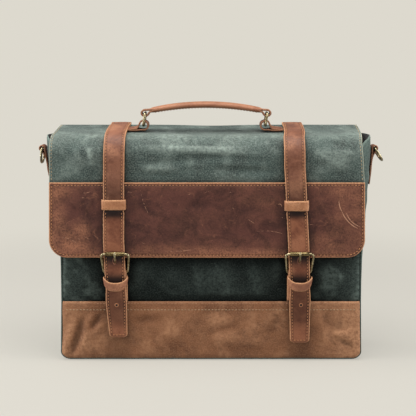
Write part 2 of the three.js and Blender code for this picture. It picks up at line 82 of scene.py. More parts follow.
class Nodes:
    """One material's node tree. Textures read the mesh attribute "cloth", each point's place
    on its own piece in millimetres."""

    def __init__(self, name):
        self.material = bpy.data.materials.new(name)
        self.material.use_nodes = True
        self.tree = self.material.node_tree
        self.tree.nodes.clear()
        self.shader = self.add("BsdfPrincipled")
        self.out = self.add("OutputMaterial", {"Surface": self.shader.outputs["BSDF"]})
        self.cloth = self.add("Attribute", attribute_name="cloth").outputs["Vector"]

    def add(self, kind, sockets=None, **settings):
        return add_node(self.tree, kind, sockets, **settings)

    def amount(self, name):
        return self.add("Attribute", attribute_name=name).outputs["Fac"]

    def texture(self, kind, size, sockets, stretch=(1, 1, 1), **settings):
        """A texture whose pattern is about size millimetres across."""
        scale = [k / size for k in stretch]
        place = self.add("Mapping", {"Vector": self.cloth, "Scale": scale})
        sockets = {"Vector": place.outputs["Vector"], "Scale": 1.0, **sockets}
        return self.add(kind, sockets, **settings)

    def noise(self, size, detail=3.0, rough=0.55, stretch=(1, 1, 1), distort=0.0):
        sockets = {"Detail": detail, "Roughness": rough, "Distortion": distort}
        return self.texture("TexNoise", size, sockets, stretch).outputs["Fac"]

    def cells(self, size):
        return self.texture("TexVoronoi", size, {}).outputs["Distance"]

    def threads(self, period, way):
        """Ridges of one set of threads, across "X" or "Y"."""
        stretch = [2 * math.pi / 20] * 3
        sockets = {"Distortion": 0.6, "Detail": 1.0}
        wave = self.texture("TexWave", period, sockets, stretch, wave_type="BANDS", bands_direction=way)
        return wave.outputs["Fac"]

    def math(self, op, a, b=0.0, clamp=False):
        return self.add("Math", {0: a, 1: b}, operation=op, use_clamp=clamp).outputs["Value"]

    def times(self, a, b):
        return self.math("MULTIPLY", a, b)

    def plus(self, a, b, clamp=True):
        return self.math("ADD", a, b, clamp)

    def span(self, value, low, high, to_low=0.0, to_high=1.0):
        """value's range low..high carried smoothly to another range."""
        sockets = {"Value": value, "From Min": low, "From Max": high, "To Min": to_low, "To Max": to_high}
        return self.add("MapRange", sockets, interpolation_type="SMOOTHSTEP").outputs["Result"]

    def mix(self, factor, a, b):
        return self.add("Mix", {"Factor": factor, 6: a, 7: b}, data_type="RGBA").outputs[2]

    def bump(self, height, strength, distance_mm, under=None):
        sockets = {"Height": height, "Strength": strength, "Distance": distance_mm * MM}
        if under is not None:
            sockets["Normal"] = under
        return self.add("Bump", sockets).outputs["Normal"]

    def finish(self, colour, roughness, normal, **fixed):
        sockets = {"Base Color": colour, "Roughness": roughness, "Normal": normal}
        sockets.update((key.replace("_", " "), value) for key, value in fixed.items())
        fill(self.tree, self.shader, sockets)
        return self.material


def marks(n, size, width, cover):
    """Thin wandering lines, as a fold leaves in wax or a nail in leather."""
    wander = n.math("SUBTRACT", n.noise(size, 3.0, 0.6, distort=1.1), 0.5)
    line = n.span(n.math("ABSOLUTE", wander), 0.0, width, 1.0, 0.0)
    return n.times(line, n.span(n.noise(size * 0.8, 2.0, 0.5), cover, cover + 0.2))


def shade_darkening(n, colour, dark):
    """Mixes the colour towards near black by a vertex attribute: mostly painted shade where light hardly
    reaches, with some grime and darker tone.
    """
    return n.mix(n.amount("shade_and_darkening"), colour, (dark[0] * 0.12, dark[1] * 0.12, dark[2] * 0.12, 1))


def canvas(name, dark, mid, pale, bloom=0.5, grain=0.3, thread=1.0, shine=0.25):
    """Waxed canvas: a plain weave, cloudy wax, and pale rubbing where the wear attribute is high; on the
    front panel and the end panels that attribute also carries painted light.
    """
    n = Nodes(name)
    clouds = n.span(n.noise(42, 4.0, 0.62, distort=0.5), 0.36, 0.64)
    mottle = n.span(n.noise(7, 5.0, 0.7), 0.36, 0.66)
    specks = n.span(n.noise(1.9, 3.0, 0.75), 0.42, 0.66)
    colour = n.mix(clouds, dark, mid)
    colour = n.mix(n.times(mottle, 0.5), colour, mid)
    warp = n.threads(thread, "X")
    weft = n.threads(thread, "Y")
    weave = n.times(warp, weft)
    colour = n.mix(n.times(specks, grain), colour, pale)
    colour = n.mix(n.times(weave, 0.10), colour, pale)
    rubbed_and_lit = n.times(n.amount("wear_and_light"), n.span(n.noise(5, 4.0, 0.68), 0.2, 0.7))
    waxed = n.times(n.span(n.noise(30, 5.0, 0.66, distort=0.9), 0.52, 0.74), bloom)
    waxed = n.times(waxed, n.span(specks, 0.0, 1.0, 0.55, 1.0))
    lift = n.plus(rubbed_and_lit, waxed)
    lift = n.plus(lift, n.times(marks(n, 22, 0.014, 0.48), 0.38))
    colour = n.mix(lift, colour, pale)
    colour = shade_darkening(n, colour, dark)
    rough = n.span(mottle, 0.0, 1.0, 0.58, 0.82)
    normal = n.bump(weave, 0.35, 0.12)
    normal = n.bump(n.noise(3, 5.0, 0.7), 0.35, 0.35, normal)
    normal = n.bump(n.noise(14, 4.0, 0.6), 0.5, 1.2, normal)
    return n.finish(
        colour, rough, normal, Sheen_Weight=0.06, Sheen_Roughness=0.5, Specular_IOR_Level=shine,
    )


def leather(name, dark, mid, worn_and_lit, grain=1.3, rough=(0.40, 0.62), patch=0.5, crack=0.35):
    """Oiled pull-up leather: dark and mid tones in patches, worn to a light tone by the wear
    attribute (on the grip it also carries a painted highlight on top), with a fine pebbled grain
    and a few pressed wrinkles."""
    n = Nodes(name)
    patches = n.span(n.noise(30, 4.0, 0.62, distort=0.9), 0.38, 0.62)
    fine = n.span(n.noise(3.2, 5.0, 0.74), 0.34, 0.66)
    colour = n.mix(patches, dark, mid)
    colour = n.mix(n.times(fine, 0.5), colour, mid)
    pulled = n.times(n.span(n.noise(17, 6.0, 0.72, distort=1.6), 0.56, 0.74), patch)
    streak = n.span(n.noise(2.2, 4.0, 0.7, stretch=(0.25, 1.6, 1), distort=0.6), 0.55, 0.78)
    pulled = n.plus(pulled, n.times(streak, 0.16))
    pulled = n.plus(pulled, n.times(marks(n, 15, 0.010, 0.52), 0.30))
    # Rubbing from the wear attribute; on the grip this includes a painted highlight on top.
    rub = n.times(n.amount("wear_and_light"), n.span(n.noise(2.6, 4.0, 0.72), 0.25, 0.6))
    lift = n.plus(pulled, rub)
    colour = n.mix(lift, colour, worn_and_lit)
    pores = n.cells(grain)
    colour = n.mix(n.times(n.span(pores, 0.5, 0.9), 0.3), colour, dark)
    colour = shade_darkening(n, colour, dark)
    roughness = n.span(n.plus(fine, lift, clamp=False), 0.0, 1.6, rough[0], rough[1])
    normal = n.bump(pores, 0.3, 0.16)
    wrinkle = n.noise(6, 5.0, 0.68, stretch=(1, 1.8, 1), distort=1.2)
    normal = n.bump(wrinkle, crack, 0.7, normal)
    return n.finish(colour, roughness, normal, Specular_IOR_Level=0.32)


def raw_edge(name, light, dark):
    """Cut leather: layered fibres."""
    n = Nodes(name)
    fibres = n.span(n.noise(1.4, 4.0, 0.7), 0.3, 0.7)
    colour = n.mix(fibres, light, dark)
    return n.finish(colour, 0.78, n.bump(fibres, 0.4, 0.15))


def thread(name, colour, shadow):
    """Twisted waxed thread."""
    n = Nodes(name)
    twist = n.span(n.noise(0.8, 2.0, 0.6), 0.3, 0.7)
    return n.finish(n.mix(twist, colour, shadow), 0.6, n.bump(twist, 0.5, 0.1))


def brass(name, bright, tarnish):
    """Antiqued brass: dark in the hollows, bright where it is handled."""
    n = Nodes(name)
    age = n.span(n.noise(5, 5.0, 0.7, distort=0.5), 0.35, 0.7)
    spots = n.span(n.noise(0.9, 3.0, 0.7), 0.45, 0.75)
    colour = n.mix(age, bright, tarnish)
    colour = n.mix(n.times(spots, 0.35), colour, tarnish)
    rough = n.span(n.plus(age, spots, clamp=False), 0.0, 2.0, 0.22, 0.5)
    return n.finish(colour, rough, n.bump(spots, 0.15, 0.08), Metallic=1.0)


def plain_cloth(name, dark, light, period=0.7):
    n = Nodes(name)
    weave = n.times(n.threads(period, "X"), n.threads(period, "Y"))
    fade = n.span(n.noise(30, 4.0, 0.6), 0.35, 0.7)
    colour = n.mix(n.times(fade, 0.5), dark, light)
    colour = n.mix(n.times(weave, 0.25), colour, light)
    normal = n.bump(weave, 0.4, 0.12)
    normal = n.bump(n.noise(18, 3.0, 0.5), 0.4, 1.5, normal)
    return n.finish(colour, 0.85, normal, Sheen_Weight=0.15)


GREEN = canvas("green_canvas", srgb(29, 40, 38), srgb(56, 71, 67), srgb(146, 159, 149), 0.34, 0.44)
GREEN_BODY = canvas(
    "green_canvas_body", srgb(27, 38, 36), srgb(50, 66, 61), srgb(134, 150, 140), 0.55, shine=0.15,
)
# A much darker copy of the green canvas for the front panel: painted shade under the flap.
GREEN_FRONT_SHADED = canvas(
    "green_canvas_front_painted_shade", srgb(8, 12, 12), srgb(21, 28, 27), srgb(100, 112, 105), 0.22, shine=0.04,
)
HEM = canvas("canvas_hem", srgb(92, 102, 90), srgb(138, 142, 124), srgb(196, 194, 172), 0.5)
BROWN = canvas("brown_canvas", srgb(94, 57, 36), srgb(132, 86, 57), srgb(192, 141, 104), 0.26, 0.32)
HIDE = leather("flap_leather", srgb(58, 32, 28), srgb(97, 57, 48), srgb(172, 114, 84), 1.4, patch=0.40)
STRAP = leather(
    "strap_leather", srgb(106, 64, 47), srgb(144, 94, 71), srgb(192, 134, 100), 1.2, patch=0.45,
)
TAIL = leather(
    "strap_tail_leather", srgb(106, 59, 41), srgb(145, 91, 64), srgb(186, 126, 92), 1.2, patch=0.25,
)
KEEPER = leather(
    "keeper_leather", srgb(142, 90, 58), srgb(181, 122, 84), srgb(218, 162, 122), 1.2, patch=0.35,
)
GRIP = leather("grip_leather", srgb(136, 84, 59), srgb(168, 114, 84), srgb(202, 150, 116), 1.1, patch=0.4)
EDGE = raw_edge("raw_edge", srgb(214, 162, 118), srgb(172, 116, 80))
# Near-black backs for the handle's loops: painted shade inside the loops.
LOOP_INSIDE_SHADE = raw_edge("loop_inside_painted_shade", srgb(58, 37, 28), srgb(36, 23, 18))
LOOP_EDGE = raw_edge("loop_edge", srgb(168, 116, 84), srgb(116, 76, 54))
DARK_EDGE = raw_edge("inner_edge", srgb(110, 74, 54), srgb(80, 52, 40))
TAN_THREAD = thread("tan_thread", srgb(204, 142, 92), srgb(146, 92, 56))
CREAM_THREAD = thread("cream_thread", srgb(198, 176, 140), srgb(142, 120, 90))
BROWN_THREAD = thread("brown_thread", srgb(190, 142, 106), srgb(120, 82, 56))
GREEN_THREAD = thread("green_thread", srgb(92, 106, 96), srgb(60, 72, 66))
BRASS = brass("antique_brass", srgb(204, 190, 152), srgb(106, 92, 62))
DULL_BRASS = brass("dull_brass", srgb(150, 132, 92), srgb(78, 64, 40))
# Near black for the bottom of a punched hole: painted shade.
HOLE_SHADE = plain_cloth("hole_painted_shade", srgb(14, 10, 9), srgb(26, 19, 16))
LINING = plain_cloth("lining_cloth", srgb(24, 25, 26), srgb(46, 47, 48))
FOAM = plain_cloth("divider_cloth", srgb(30, 31, 33), srgb(58, 59, 60), 0.9)
BOARD = plain_cloth("base_board", srgb(60, 50, 40), srgb(92, 78, 62), 1.6)


# ------------------------------------------------------------------ mesh helpers
def unit(v):
    return v / np.maximum(np.linalg.norm(v, axis=-1, keepdims=True), 1e-9)


def smooth(x, low, high):
    t = np.clip((np.asarray(x, float) - low) / (high - low), 0, 1)
    return t * t * (3 - 2 * t)


def fbm(x, y, z=0.0, size=30.0, octaves=3):
    """Smooth noise from -1 to 1 for arrays of millimetres."""
    x, y = np.broadcast_arrays(np.asarray(x, float), np.asarray(y, float))
    out = np.empty(x.size)
    for i, (a, b) in enumerate(zip(x.ravel() / size, y.ravel() / size)):
        out[i] = noise.fractal((a, b, z), 1.0, 2.0, octaves)
    return out.reshape(x.shape)


class Creases:
    """Soft fold lines scattered in a box of the cloth (x0, y0, x1, y1), as a height in millimetres.
    Each line has a place, an angle in degrees, a reach, a depth, a width and a bend."""

    def __init__(self, seed, box, count, length, depth, width, angles=(0, 180)):
        pick = random.Random(seed)
        self.lines = []
        for _ in range(count):
            angle = pick.uniform(*angles)
            reach = pick.uniform(*length) / 2
            x, y = pick.uniform(box[0], box[2]), pick.uniform(box[1], box[3])
            sign = 1 if pick.random() < 0.6 else -1
            high, wide = sign * pick.uniform(*depth), pick.uniform(*width)
            self.add(x, y, angle, reach, high, wide, pick.uniform(-0.004, 0.004))

    def add(self, x, y, angle, reach, depth, width, bend=0.0):
        turn = math.radians(angle)
        self.lines.append((x, y, math.cos(turn), math.sin(turn), reach, depth, width, bend))
        return self

    def __call__(self, x, y):
        total = np.zeros(np.broadcast(x, y).shape)
        for x0, y0, c, s, reach, depth, width, bend in self.lines:
            along = (x - x0) * c + (y - y0) * s
            across = -(x - x0) * s + (y - y0) * c - bend * along**2
            fade = np.clip(1 - (along / reach) ** 2, 0, 1) ** 1.5
            ridge = np.exp(-((across / width) ** 2)) - 0.45 * np.exp(
                -(((across - 1.3 * width) / (1.2 * width)) ** 2)
            )
            total += depth * fade * ridge
        return total


def mesh_object(name, points, faces, materials, kinds=None, maps=None):
    """An object from points in millimetres. kinds are its faces' materials; maps are its vertex
    attributes, where "cloth" is a place on the piece and the others are amounts."""
    mesh = bpy.data.meshes.new(name)
    points = np.asarray(points, float).reshape(-1, 3)
    mesh.from_pydata((points * MM).tolist(), [], [tuple(f) for f in faces])
    for material in materials:
        mesh.materials.append(material)
    if kinds is not None:
        mesh.polygons.foreach_set("material_index", np.asarray(kinds, np.int32))
    mesh.polygons.foreach_set("use_smooth", [True] * len(mesh.polygons))
    for key, values in {"cloth": points, **(maps or {})}.items():
        kind, field = ("FLOAT_VECTOR", "vector") if key == "cloth" else ("FLOAT", "value")
        layer = mesh.attributes.new(key, kind, "POINT")
        layer.data.foreach_set(field, np.asarray(values, np.float32).ravel())
    mesh.validate()
    shell = bmesh.new()
    shell.from_mesh(mesh)
    bmesh.ops.recalc_face_normals(shell, faces=shell.faces)
    shell.to_mesh(mesh)
    shell.free()
    mesh.update()
    made = bpy.data.objects.new(name, mesh)
    bpy.context.collection.objects.link(made)
    return made


def place(piece, body, slot, *nodes):
    """Puts a finished piece on a body; a piece given a pair of bodies is left unparented, its place baked
    into its mesh.
    """
    if isinstance(body, str):
        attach(piece, body)
    else:
        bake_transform(piece)
    if nodes:
        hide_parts(*nodes)
    return piece


def run_length(points):
    return np.concatenate([[0], np.cumsum(np.linalg.norm(np.diff(points, axis=0), axis=1))])


def read_at(at, run, values):
    """Rows of values, known at the distances run, read at other distances."""
    return np.stack([np.interp(at, run, column) for column in np.asarray(values).T], -1)


def resample(points, step):
    """A polyline at even steps of about step, with its ends kept."""
    points = np.asarray(points, float)
    run = run_length(points)
    count = max(2, int(round(run[-1] / step)) + 1)
    return read_at(np.linspace(0, run[-1], count), run, points)


def heights_between(top, bottom, step):
    return resample([[0, top], [0, bottom]], step)[:, 1]


def path_normals(path):
    """Normals of a path in a plane, on its left."""
    tangent = unit(np.gradient(np.asarray(path, float), axis=0))
    return np.stack([tangent[:, 1], -tangent[:, 0]], 1)


def in_3d(pairs, x=0.0):
    """(y, z) pairs at x."""
    pairs = np.asarray(pairs, float)
    return np.column_stack([np.broadcast_to(np.asarray(x, float), len(pairs)), pairs])


def in_xz(pairs):
    return np.insert(np.asarray(pairs, float), 1, 0.0, axis=1)


def in_xy(pairs, z=0.0):
    return np.column_stack([pairs, np.broadcast_to(np.asarray(z, float), len(pairs))])


def turned(x, z, wide, high, degrees):
    """Points of an ellipse round (x, z) at the given angles."""
    turns = [math.radians(d) for d in degrees]
    return [(x + wide * math.cos(t), z + high * math.sin(t)) for t in turns]


def closed_loop(outline, step):
    return resample(np.array([*outline, outline[0]]), step)[:-1]


def smooth_path(points, step):
    """A Catmull-Rom curve through points, at even steps."""
    p = np.asarray(points, float)
    p = np.concatenate([[2 * p[0] - p[1]], p, [2 * p[-1] - p[-2]]])
    out = []
    for a, b, c, d in zip(p, p[1:], p[2:], p[3:]):
        for t in np.linspace(0, 1, 16, endpoint=False):
            square = (2 * a - 5 * b + 4 * c - d) * t**2
            out.append(0.5 * (2 * b + (c - a) * t + square + (3 * b - a - 3 * c + d) * t**3))
    return resample([*out, p[-2]], step)


def ring_faces(rings, sides, closed=False):
    """Quads between rings of points, and a cap on each end unless the last meets the first."""
    faces = []
    for i in range(rings if closed else rings - 1):
        here, there = i * sides, (i + 1) % rings * sides
        for q in range(sides):
            r = (q + 1) % sides
            faces.append((here + q, here + r, there + r, there + q))
    if not closed:
        faces.append(tuple(reversed(range(sides))))
        faces.append(tuple(range((rings - 1) * sides, rings * sides)))
    return faces


def round_edge(index):
    """The points along the edge of a grid, once round."""
    return np.concatenate([index[0], index[1:, -1], index[-1, -2::-1], index[-2:0:-1, 0]]).tolist()


def joined(parts):
    """One list of vertices and one of faces, from several pairs of them."""
    verts, faces = [], []
    for more_verts, more_faces in parts:
        faces += [tuple(len(verts) + k for k in face) for face in more_faces]
        verts += more_verts
    return verts, faces


class Sheet:
    """A strip of cloth or leather swept along a path. Its right side faces along the normals.

    spine is the right side's middle line, across the unit vector to one side, left and right
    the edges' distances along it, and relief(a, s) lifts the surface at a mm across and s mm
    along. A cut strip has a rounded, lighter edge; groove is how far in a stitched line lies.
    """

    def __init__(
        self, spine, normals, across, left, right, thick, relief=None, border=0.8, ends=(True, True),
        groove=None, pitch=2.6, drop=0.7, groove_depth=0.28,
    ):
        spine, normals = np.asarray(spine, float), np.asarray(normals, float)
        rows = len(spine)
        run = run_length(spine)
        left, right = (np.broadcast_to(np.asarray(v, float), (rows,)) for v in (left, right))
        across = np.broadcast_to(np.asarray(across, float), (rows, 3))
        margin = [0.0, 0.35 * border, border]
        if groove:
            margin += [groove - 0.7, groove, groove + 0.7]
        inner = max(3, int((np.max(right - left) - 2 * margin[-1]) / pitch))
        squeeze = np.minimum(1.0, (right - left) / (2.2 * margin[-1]))[:, None]
        lows = left[:, None] + np.array(margin) * squeeze
        highs = right[:, None] - np.array(margin[::-1]) * squeeze
        middle = lows[:, -1:] + (highs[:, :1] - lows[:, -1:]) * np.linspace(0, 1, inner + 1)[1:-1]
        a = np.concatenate([lows, middle, highs], 1)
        s = np.broadcast_to(run[:, None], a.shape)
        edge = np.minimum(a - left[:, None], right[:, None] - a)
        near = edge
        if ends[0]:
            near = np.minimum(near, s - run[0])
        if ends[1]:
            near = np.minimum(near, run[-1] - s)
        lift = np.zeros(a.shape) if relief is None else relief(a, s)
        depth = -drop * np.clip(1 - near / border, 0, 1) ** 1.7
        if groove:
            depth -= groove_depth * np.exp(-(((near - groove) / 0.55) ** 2))
        floor = (depth if relief is None else lift) - thick
        depth = depth + lift
        base = spine[:, None, :] + a[:, :, None] * across[:, None, :]
        inset = np.clip(1 - edge / border, 0, 1) * 0.12 * np.sign(a - a.mean(1)[:, None])
        self.top = base + depth[:, :, None] * normals[:, None, :]
        self.under = base - inset[:, :, None] * across[:, None, :] + floor[:, :, None] * normals[:, None, :]
        self.a, self.s, self.edge, self.near, self.depth = a, s, edge, near, depth
        self.spine, self.normals, self.across = spine, normals, across
        self.run, self.left, self.right = run, left, right
        self.border, self.groove = border, groove

    def build(self, name, looks, body, slot, *nodes, wear_and_light=None, shade_and_darkening=None, shift=(0, 0)):
        """looks are the materials of the right side, the cut edge and the back."""
        rows, cols = self.a.shape
        half = rows * cols
        index = np.arange(half).reshape(rows, cols)
        near = (self.near[:-1, :-1] + self.near[1:, :-1] + self.near[:-1, 1:] + self.near[1:, 1:]) / 4
        # Which way round a face goes so that the right side faces along the normals.
        forward = self.spine[1] - self.spine[0]
        flip = np.dot(np.cross(forward, self.across[0]), self.normals[0]) > 0
        faces, kinds = [], []
        for i in range(rows - 1):
            for j in range(cols - 1):
                a, b = index[i, j], index[i, j + 1]
                c, d = index[i + 1, j + 1], index[i + 1, j]
                quad = (a, d, c, b) if flip else (a, b, c, d)
                faces += [quad, tuple(half + k for k in reversed(quad))]
                kinds += [1 if near[i, j] < 0.8 * self.border else 0, 2]
        rim = round_edge(index)
        for here, there in zip(rim, rim[1:] + rim[:1]):
            quad = (here, there, half + there, half + here)
            faces.append(quad if flip else tuple(reversed(quad)))
            kinds.append(1)
        zero = np.zeros(half)
        worn_and_lit = zero if wear_and_light is None else np.clip(wear_and_light(self), 0, 1).ravel()
        # Painted shade and other darkening from the piece, sent to the materials as a vertex attribute.
        shade_darkening = zero if shade_and_darkening is None else shade_and_darkening(self).ravel()
        # Darker along the stitch groove.
        if self.groove:
            shade_darkening = shade_darkening + 0.6 * np.exp(-(((self.near - self.groove) / 0.8) ** 2)).ravel()
        cloth = np.stack([self.a.ravel() + shift[0], self.s.ravel() + shift[1], zero + shift[0] * 0.37], 1)
        maps = {
            "cloth": np.concatenate([cloth, cloth + [0, 0, 3]]), "wear_and_light": np.tile(worn_and_lit, 2),
            "shade_and_darkening": np.tile(np.clip(shade_darkening, 0, 1), 2),
        }
        points = np.concatenate([self.top.reshape(-1, 3), self.under.reshape(-1, 3)])
        piece = mesh_object(name, points, faces, looks, kinds, maps)
        return place(piece, body, slot, *nodes)

    def trace(self, pairs, lift=0.0):
        """Points and normals on the right side at pairs of (mm across, mm along)."""
        points, normals = [], []
        for a, s in pairs:
            i = int(np.clip(np.searchsorted(self.run, s) - 1, 0, len(self.run) - 2))
            t = (s - self.run[i]) / (self.run[i + 1] - self.run[i])
            here, there = (read_at(a, self.a[k], self.top[k]) for k in (i, i + 1))
            n = self.normals[i] * (1 - t) + self.normals[i + 1] * t
            n = n / np.linalg.norm(n)
            points.append(here * (1 - t) + there * t + n * lift)
            normals.append(n)
        return np.array(points), np.array(normals)

    def line(self, a, start=0.0, end=None):
        """A line along the strip, a mm across (or a function of s)."""
        places = np.arange(start, self.run[-1] if end is None else end, 1.0)
        return self.trace([(a(s) if callable(a) else a, s) for s in places])

    def cross(self, s, low, high, count):
        """A line across the strip."""
        return self.trace([(a, s) for a in np.linspace(low, high, count)])

    def ends_at(self, s):
        """The left and right edges' places at s."""
        return np.interp(s, self.run, self.left), np.interp(s, self.run, self.right)

    def hems(self, inset, start=0.0, end=None):
        """A line along each edge, inset from it."""
        return [
            self.line(lambda s: self.ends_at(s)[0] + inset, start, end),
            self.line(lambda s: self.ends_at(s)[1] - inset, start, end),
        ]


STITCH_SHAPE = (
    (0.0, 0.35, -0.75), (0.16, 0.9, 0.25), (0.5, 1.0, 0.55), (0.84, 0.9, 0.25), (1.0, 0.35, -0.75),
)
STITCH_SIDES = 6
STITCH_FACES = ring_faces(len(STITCH_SHAPE), STITCH_SIDES)


def stitch_row(points, normals, length=3.1, gap=1.1, radius=0.42, sink=0.1, wobble=0.12):
    """Vertices and faces of a row of short threads along a line."""
    run = run_length(points)
    verts, faces = [], []
    at = gap
    while at + length < run[-1]:
        p0, p1 = (read_at(t, run, points) for t in (at, at + length))
        n0, n1 = (read_at(t, run, normals) for t in (at, at + length))
        along = unit(p1 - p0)
        n = unit(n0 / np.linalg.norm(n0) + n1 / np.linalg.norm(n1))
        side = np.cross(along, n)
        jog = side * rng.uniform(-wobble, wobble)
        faces += [tuple(len(verts) + k for k in face) for face in STITCH_FACES]
        for k, (t, size, height) in enumerate(STITCH_SHAPE):
            centre = p0 + (p1 - p0) * t + n * (height * radius - sink) + jog * (1 if k % 2 else -1)
            for q in range(STITCH_SIDES):
                turn = q * math.pi / 3
                verts.append(centre + size * radius * (math.cos(turn) * side + math.sin(turn) * n))
        at += length + gap
    return verts, faces


def stitches(name, rows, material, body, **style):
    """One piece made of rows of (points, normals)."""
    verts, faces = joined([stitch_row(*row, **style) for row in rows])
    return place(mesh_object(name, verts, faces, [material]), body, "thread")


def tube(name, points, radius, look, body, slot, *nodes, closed=False, sides=12, flat=1.0, normal=(1, 0, 0)):
    """A round bar along a polyline; flat squashes it along the given normal."""
    points = np.asarray(points, float)
    radius = np.broadcast_to(np.asarray(radius, float), (len(points),))
    if closed:
        tangents = unit(np.roll(points, -1, 0) - np.roll(points, 1, 0))
    else:
        tangents = unit(np.gradient(points, axis=0))
    verts = []
    for p, t, r in zip(points, tangents, radius):
        n = unit(np.asarray(normal, float) - np.dot(normal, t) * t)
        b = np.cross(t, n)
        for q in range(sides):
            turn = 2 * math.pi * q / sides
            verts.append(p + r * (flat * math.cos(turn) * n + math.sin(turn) * b))
    piece = mesh_object(name, verts, ring_faces(len(points), sides, closed), [look])
    return place(piece, body, slot, *nodes)


# ------------------------------------------------------------------ measured shape of the bag
HALF_DEPTH = 48.0
FLAP_BOTTOM = 141.0
LEATHER_TOP = 240.5
BAND_TOP = 80.5
FRONT_TOP = 268.0
BACK_TOP = 299.0
SWELL = {"left": 21.0, "right": 14.0}
SWELL_RISE = {"left": (120, 296), "right": (50, 285)}  # heights between which they swell
FLAP_CORNER = 24.0
FLAP_Y = -49.2  # where the flap's inner face hangs in front
FLAP_SEAM = (47.5, 307.5)  # y, z of its back seam
CANVAS_TOP = 2.5  # heights of the layers' right sides over the flap's inner path
LEATHER_RIGHT = 5.0
STRAP_OVER_CANVAS = 7.9
STRAP_OVER_LEATHER = 8.5
HEEL = np.array([-53.6, 121.0])  # y, z of a buckle's lower bar and of its roller
ROLLER = np.array([-62.4, 147.5])
HINGE = np.array([49.0, 305.5])  # y, z of the fold behind the flap
STRAP_HALF = 13.7
STRAP_HEIGHTS = [95, 166, 205, 240, 262, 300, 314]
STRAP_X = {
    "left": [-125.4, -127.8, -127.2, -126.8, -126.2, -125.6, -124.4],
    "right": [117.2, 114.2, 111.6, 109.8, 108.2, 107.9, 112.2],
}


def strap_x(label, z):
    """The middle of a strap at a height."""
    return np.interp(z, STRAP_HEIGHTS, STRAP_X[label])


def from_straps(x, z):
    """The distance across to the nearer strap's middle."""
    return np.minimum(np.abs(x - strap_x("left", z)), np.abs(x - strap_x("right", z)))


def round_inset(distance, radius):
    """How far a round corner cuts in, at a distance from the end it turns to."""
    into = np.clip(radius - np.asarray(distance, float), 0, radius)
    return radius - np.sqrt(radius**2 - into**2)


def bezier(p0, p1, p2, p3, count):
    t = np.linspace(0, 1, count)[:, None]
    p0, p1, p2, p3 = (np.array(p, float) for p in (p0, p1, p2, p3))
    return ((1 - t) ** 3 * p0 + 3 * (1 - t) ** 2 * t * p1 + 3 * (1 - t) * t**2 * p2 + t**3 * p3)


def flap_spine(step, lift=0.0, start=0.0, end_z=FLAP_BOTTOM):
    """(y, z) points and normals along the flap, from its back seam to end_z, lift mm above its
    inner face. lift may be a function of the points."""
    roll = bezier((-22, 299.5), (-40, 297.4), (FLAP_Y, 286), (FLAP_Y, 268), 40)
    path = resample([FLAP_SEAM, *roll, (FLAP_Y, end_z)], 0.5)
    run = run_length(path)
    at = np.linspace(start, run[-1], max(2, int((run[-1] - start) / step) + 1))
    points, normals = read_at(at, run, path), unit(read_at(at, run, path_normals(path)))
    lifts = lift(points) if callable(lift) else np.full(len(at), lift)
    return points + normals * lifts[:, None], normals


def flap_edges(points):
    """The flap's left and right edges at (y, z) points of its path."""
    y, z = points[:, 0], points[:, 1]
    along = np.where(z > 285, FLAP_SEAM[0] - y, 92 + (285 - z))
    keys = [0, 60, 92, 137, 236]
    centre = np.interp(along, keys, [-3.2, -5.0, -7.0, -5.6, -5.5])
    half = np.interp(along, keys, [206.6, 205.2, 203.6, 205.6, 208.3])
    return centre - half, centre + half


FLAP_BLEND = ("flap_top", "flap_front", (0, -0.030, 0.3015), (0, -0.0525, 0.2725))
ACROSS = np.array([1.0, 0.0, 0.0])


def upright(y, heights, facing):
    """The spine, normals and side of a flat sheet that hangs at y, facing the back or front."""
    return in_3d([(y, z) for z in heights]), in_3d([(facing, 0.0)] * len(heights)), ACROSS


top_creases = Creases(3, (-200, 0, 195, 140), 34, (30, 130), (0.25, 0.8), (5, 13), (-35, 35))
top_creases.add(-60, 112, 8, 60, 0.7, 6).add(40, 100, -6, 70, 0.7, 7).add(150, 118, 20, 40, 0.8, 6)
top_creases.add(-175, 110, 60, 26, 0.9, 5).add(-150, 62, 25, 30, 0.7, 7).add(175, 70, -30, 30, 0.8, 7)
# The long soft folds below the roll, valleys and ridges in turn.
top_creases.add(-30, 94, 0, 96, -2.1, 6).add(-10, 106, 4, 110, 2.0, 6).add(-40, 119, -5, 70, -1.9, 5)
top_creases.add(44, 125, 4, 52, 1.5, 5).add(46, 132, 1, 48, -1.5, 6).add(-70, 130, 6, 36, 1.3, 5)
top_creases.add(-160, 96, -3, 30, -2.0, 6).add(-158, 110, 78, 20, 2.2, 4).add(-184, 112, 92, 16, -1.2, 5)
top_creases.add(160, 98, 4, 34, -2.0, 6).add(166, 88, 30, 30, 1.1, 6).add(150, 128, 0, 30, 0.9, 8)


def flap_relief(x, s):
    """The soft set of the flap's canvas; s is the distance from its back seam."""
    sag = -1.9 * (1 - (np.clip(x / 205, -1, 1)) ** 2) * smooth(s, 0, 12) * (1 - smooth(s, 45, 95))
    sag = sag - 1.3 * np.exp(-(((x - 2) / 42) ** 2)) * (1 - smooth(s, 20, 90))
    ease = smooth(s, 0, 14)
    calm = 0.25 + 0.75 * smooth(from_straps(x, 300), 14, 34)
    cloth = top_creases(x, s) + 0.5 * fbm(x, s, 4.0, 46, 3)
    flat = 1 - 0.8 * smooth(s, 134, 144)
    seam = -1.8 * (1 - smooth(s, 0, 16)) * smooth(s, -1, 4)
    return sag * (s < 110) + seam + np.clip(cloth * calm * ease * flat, -2.4, 2.4)


# ------------------------------------------------------------------ flap
points, normals = flap_spine(2.4, CANVAS_TOP, end_z=235.0)
left, right = flap_edges(points)
flap_canvas = Sheet(
    in_3d(points), in_3d(normals), ACROSS, left, right, 1.4, relief=flap_relief, border=1.1,
    ends=(True, False), drop=0.8, pitch=2.4,
)


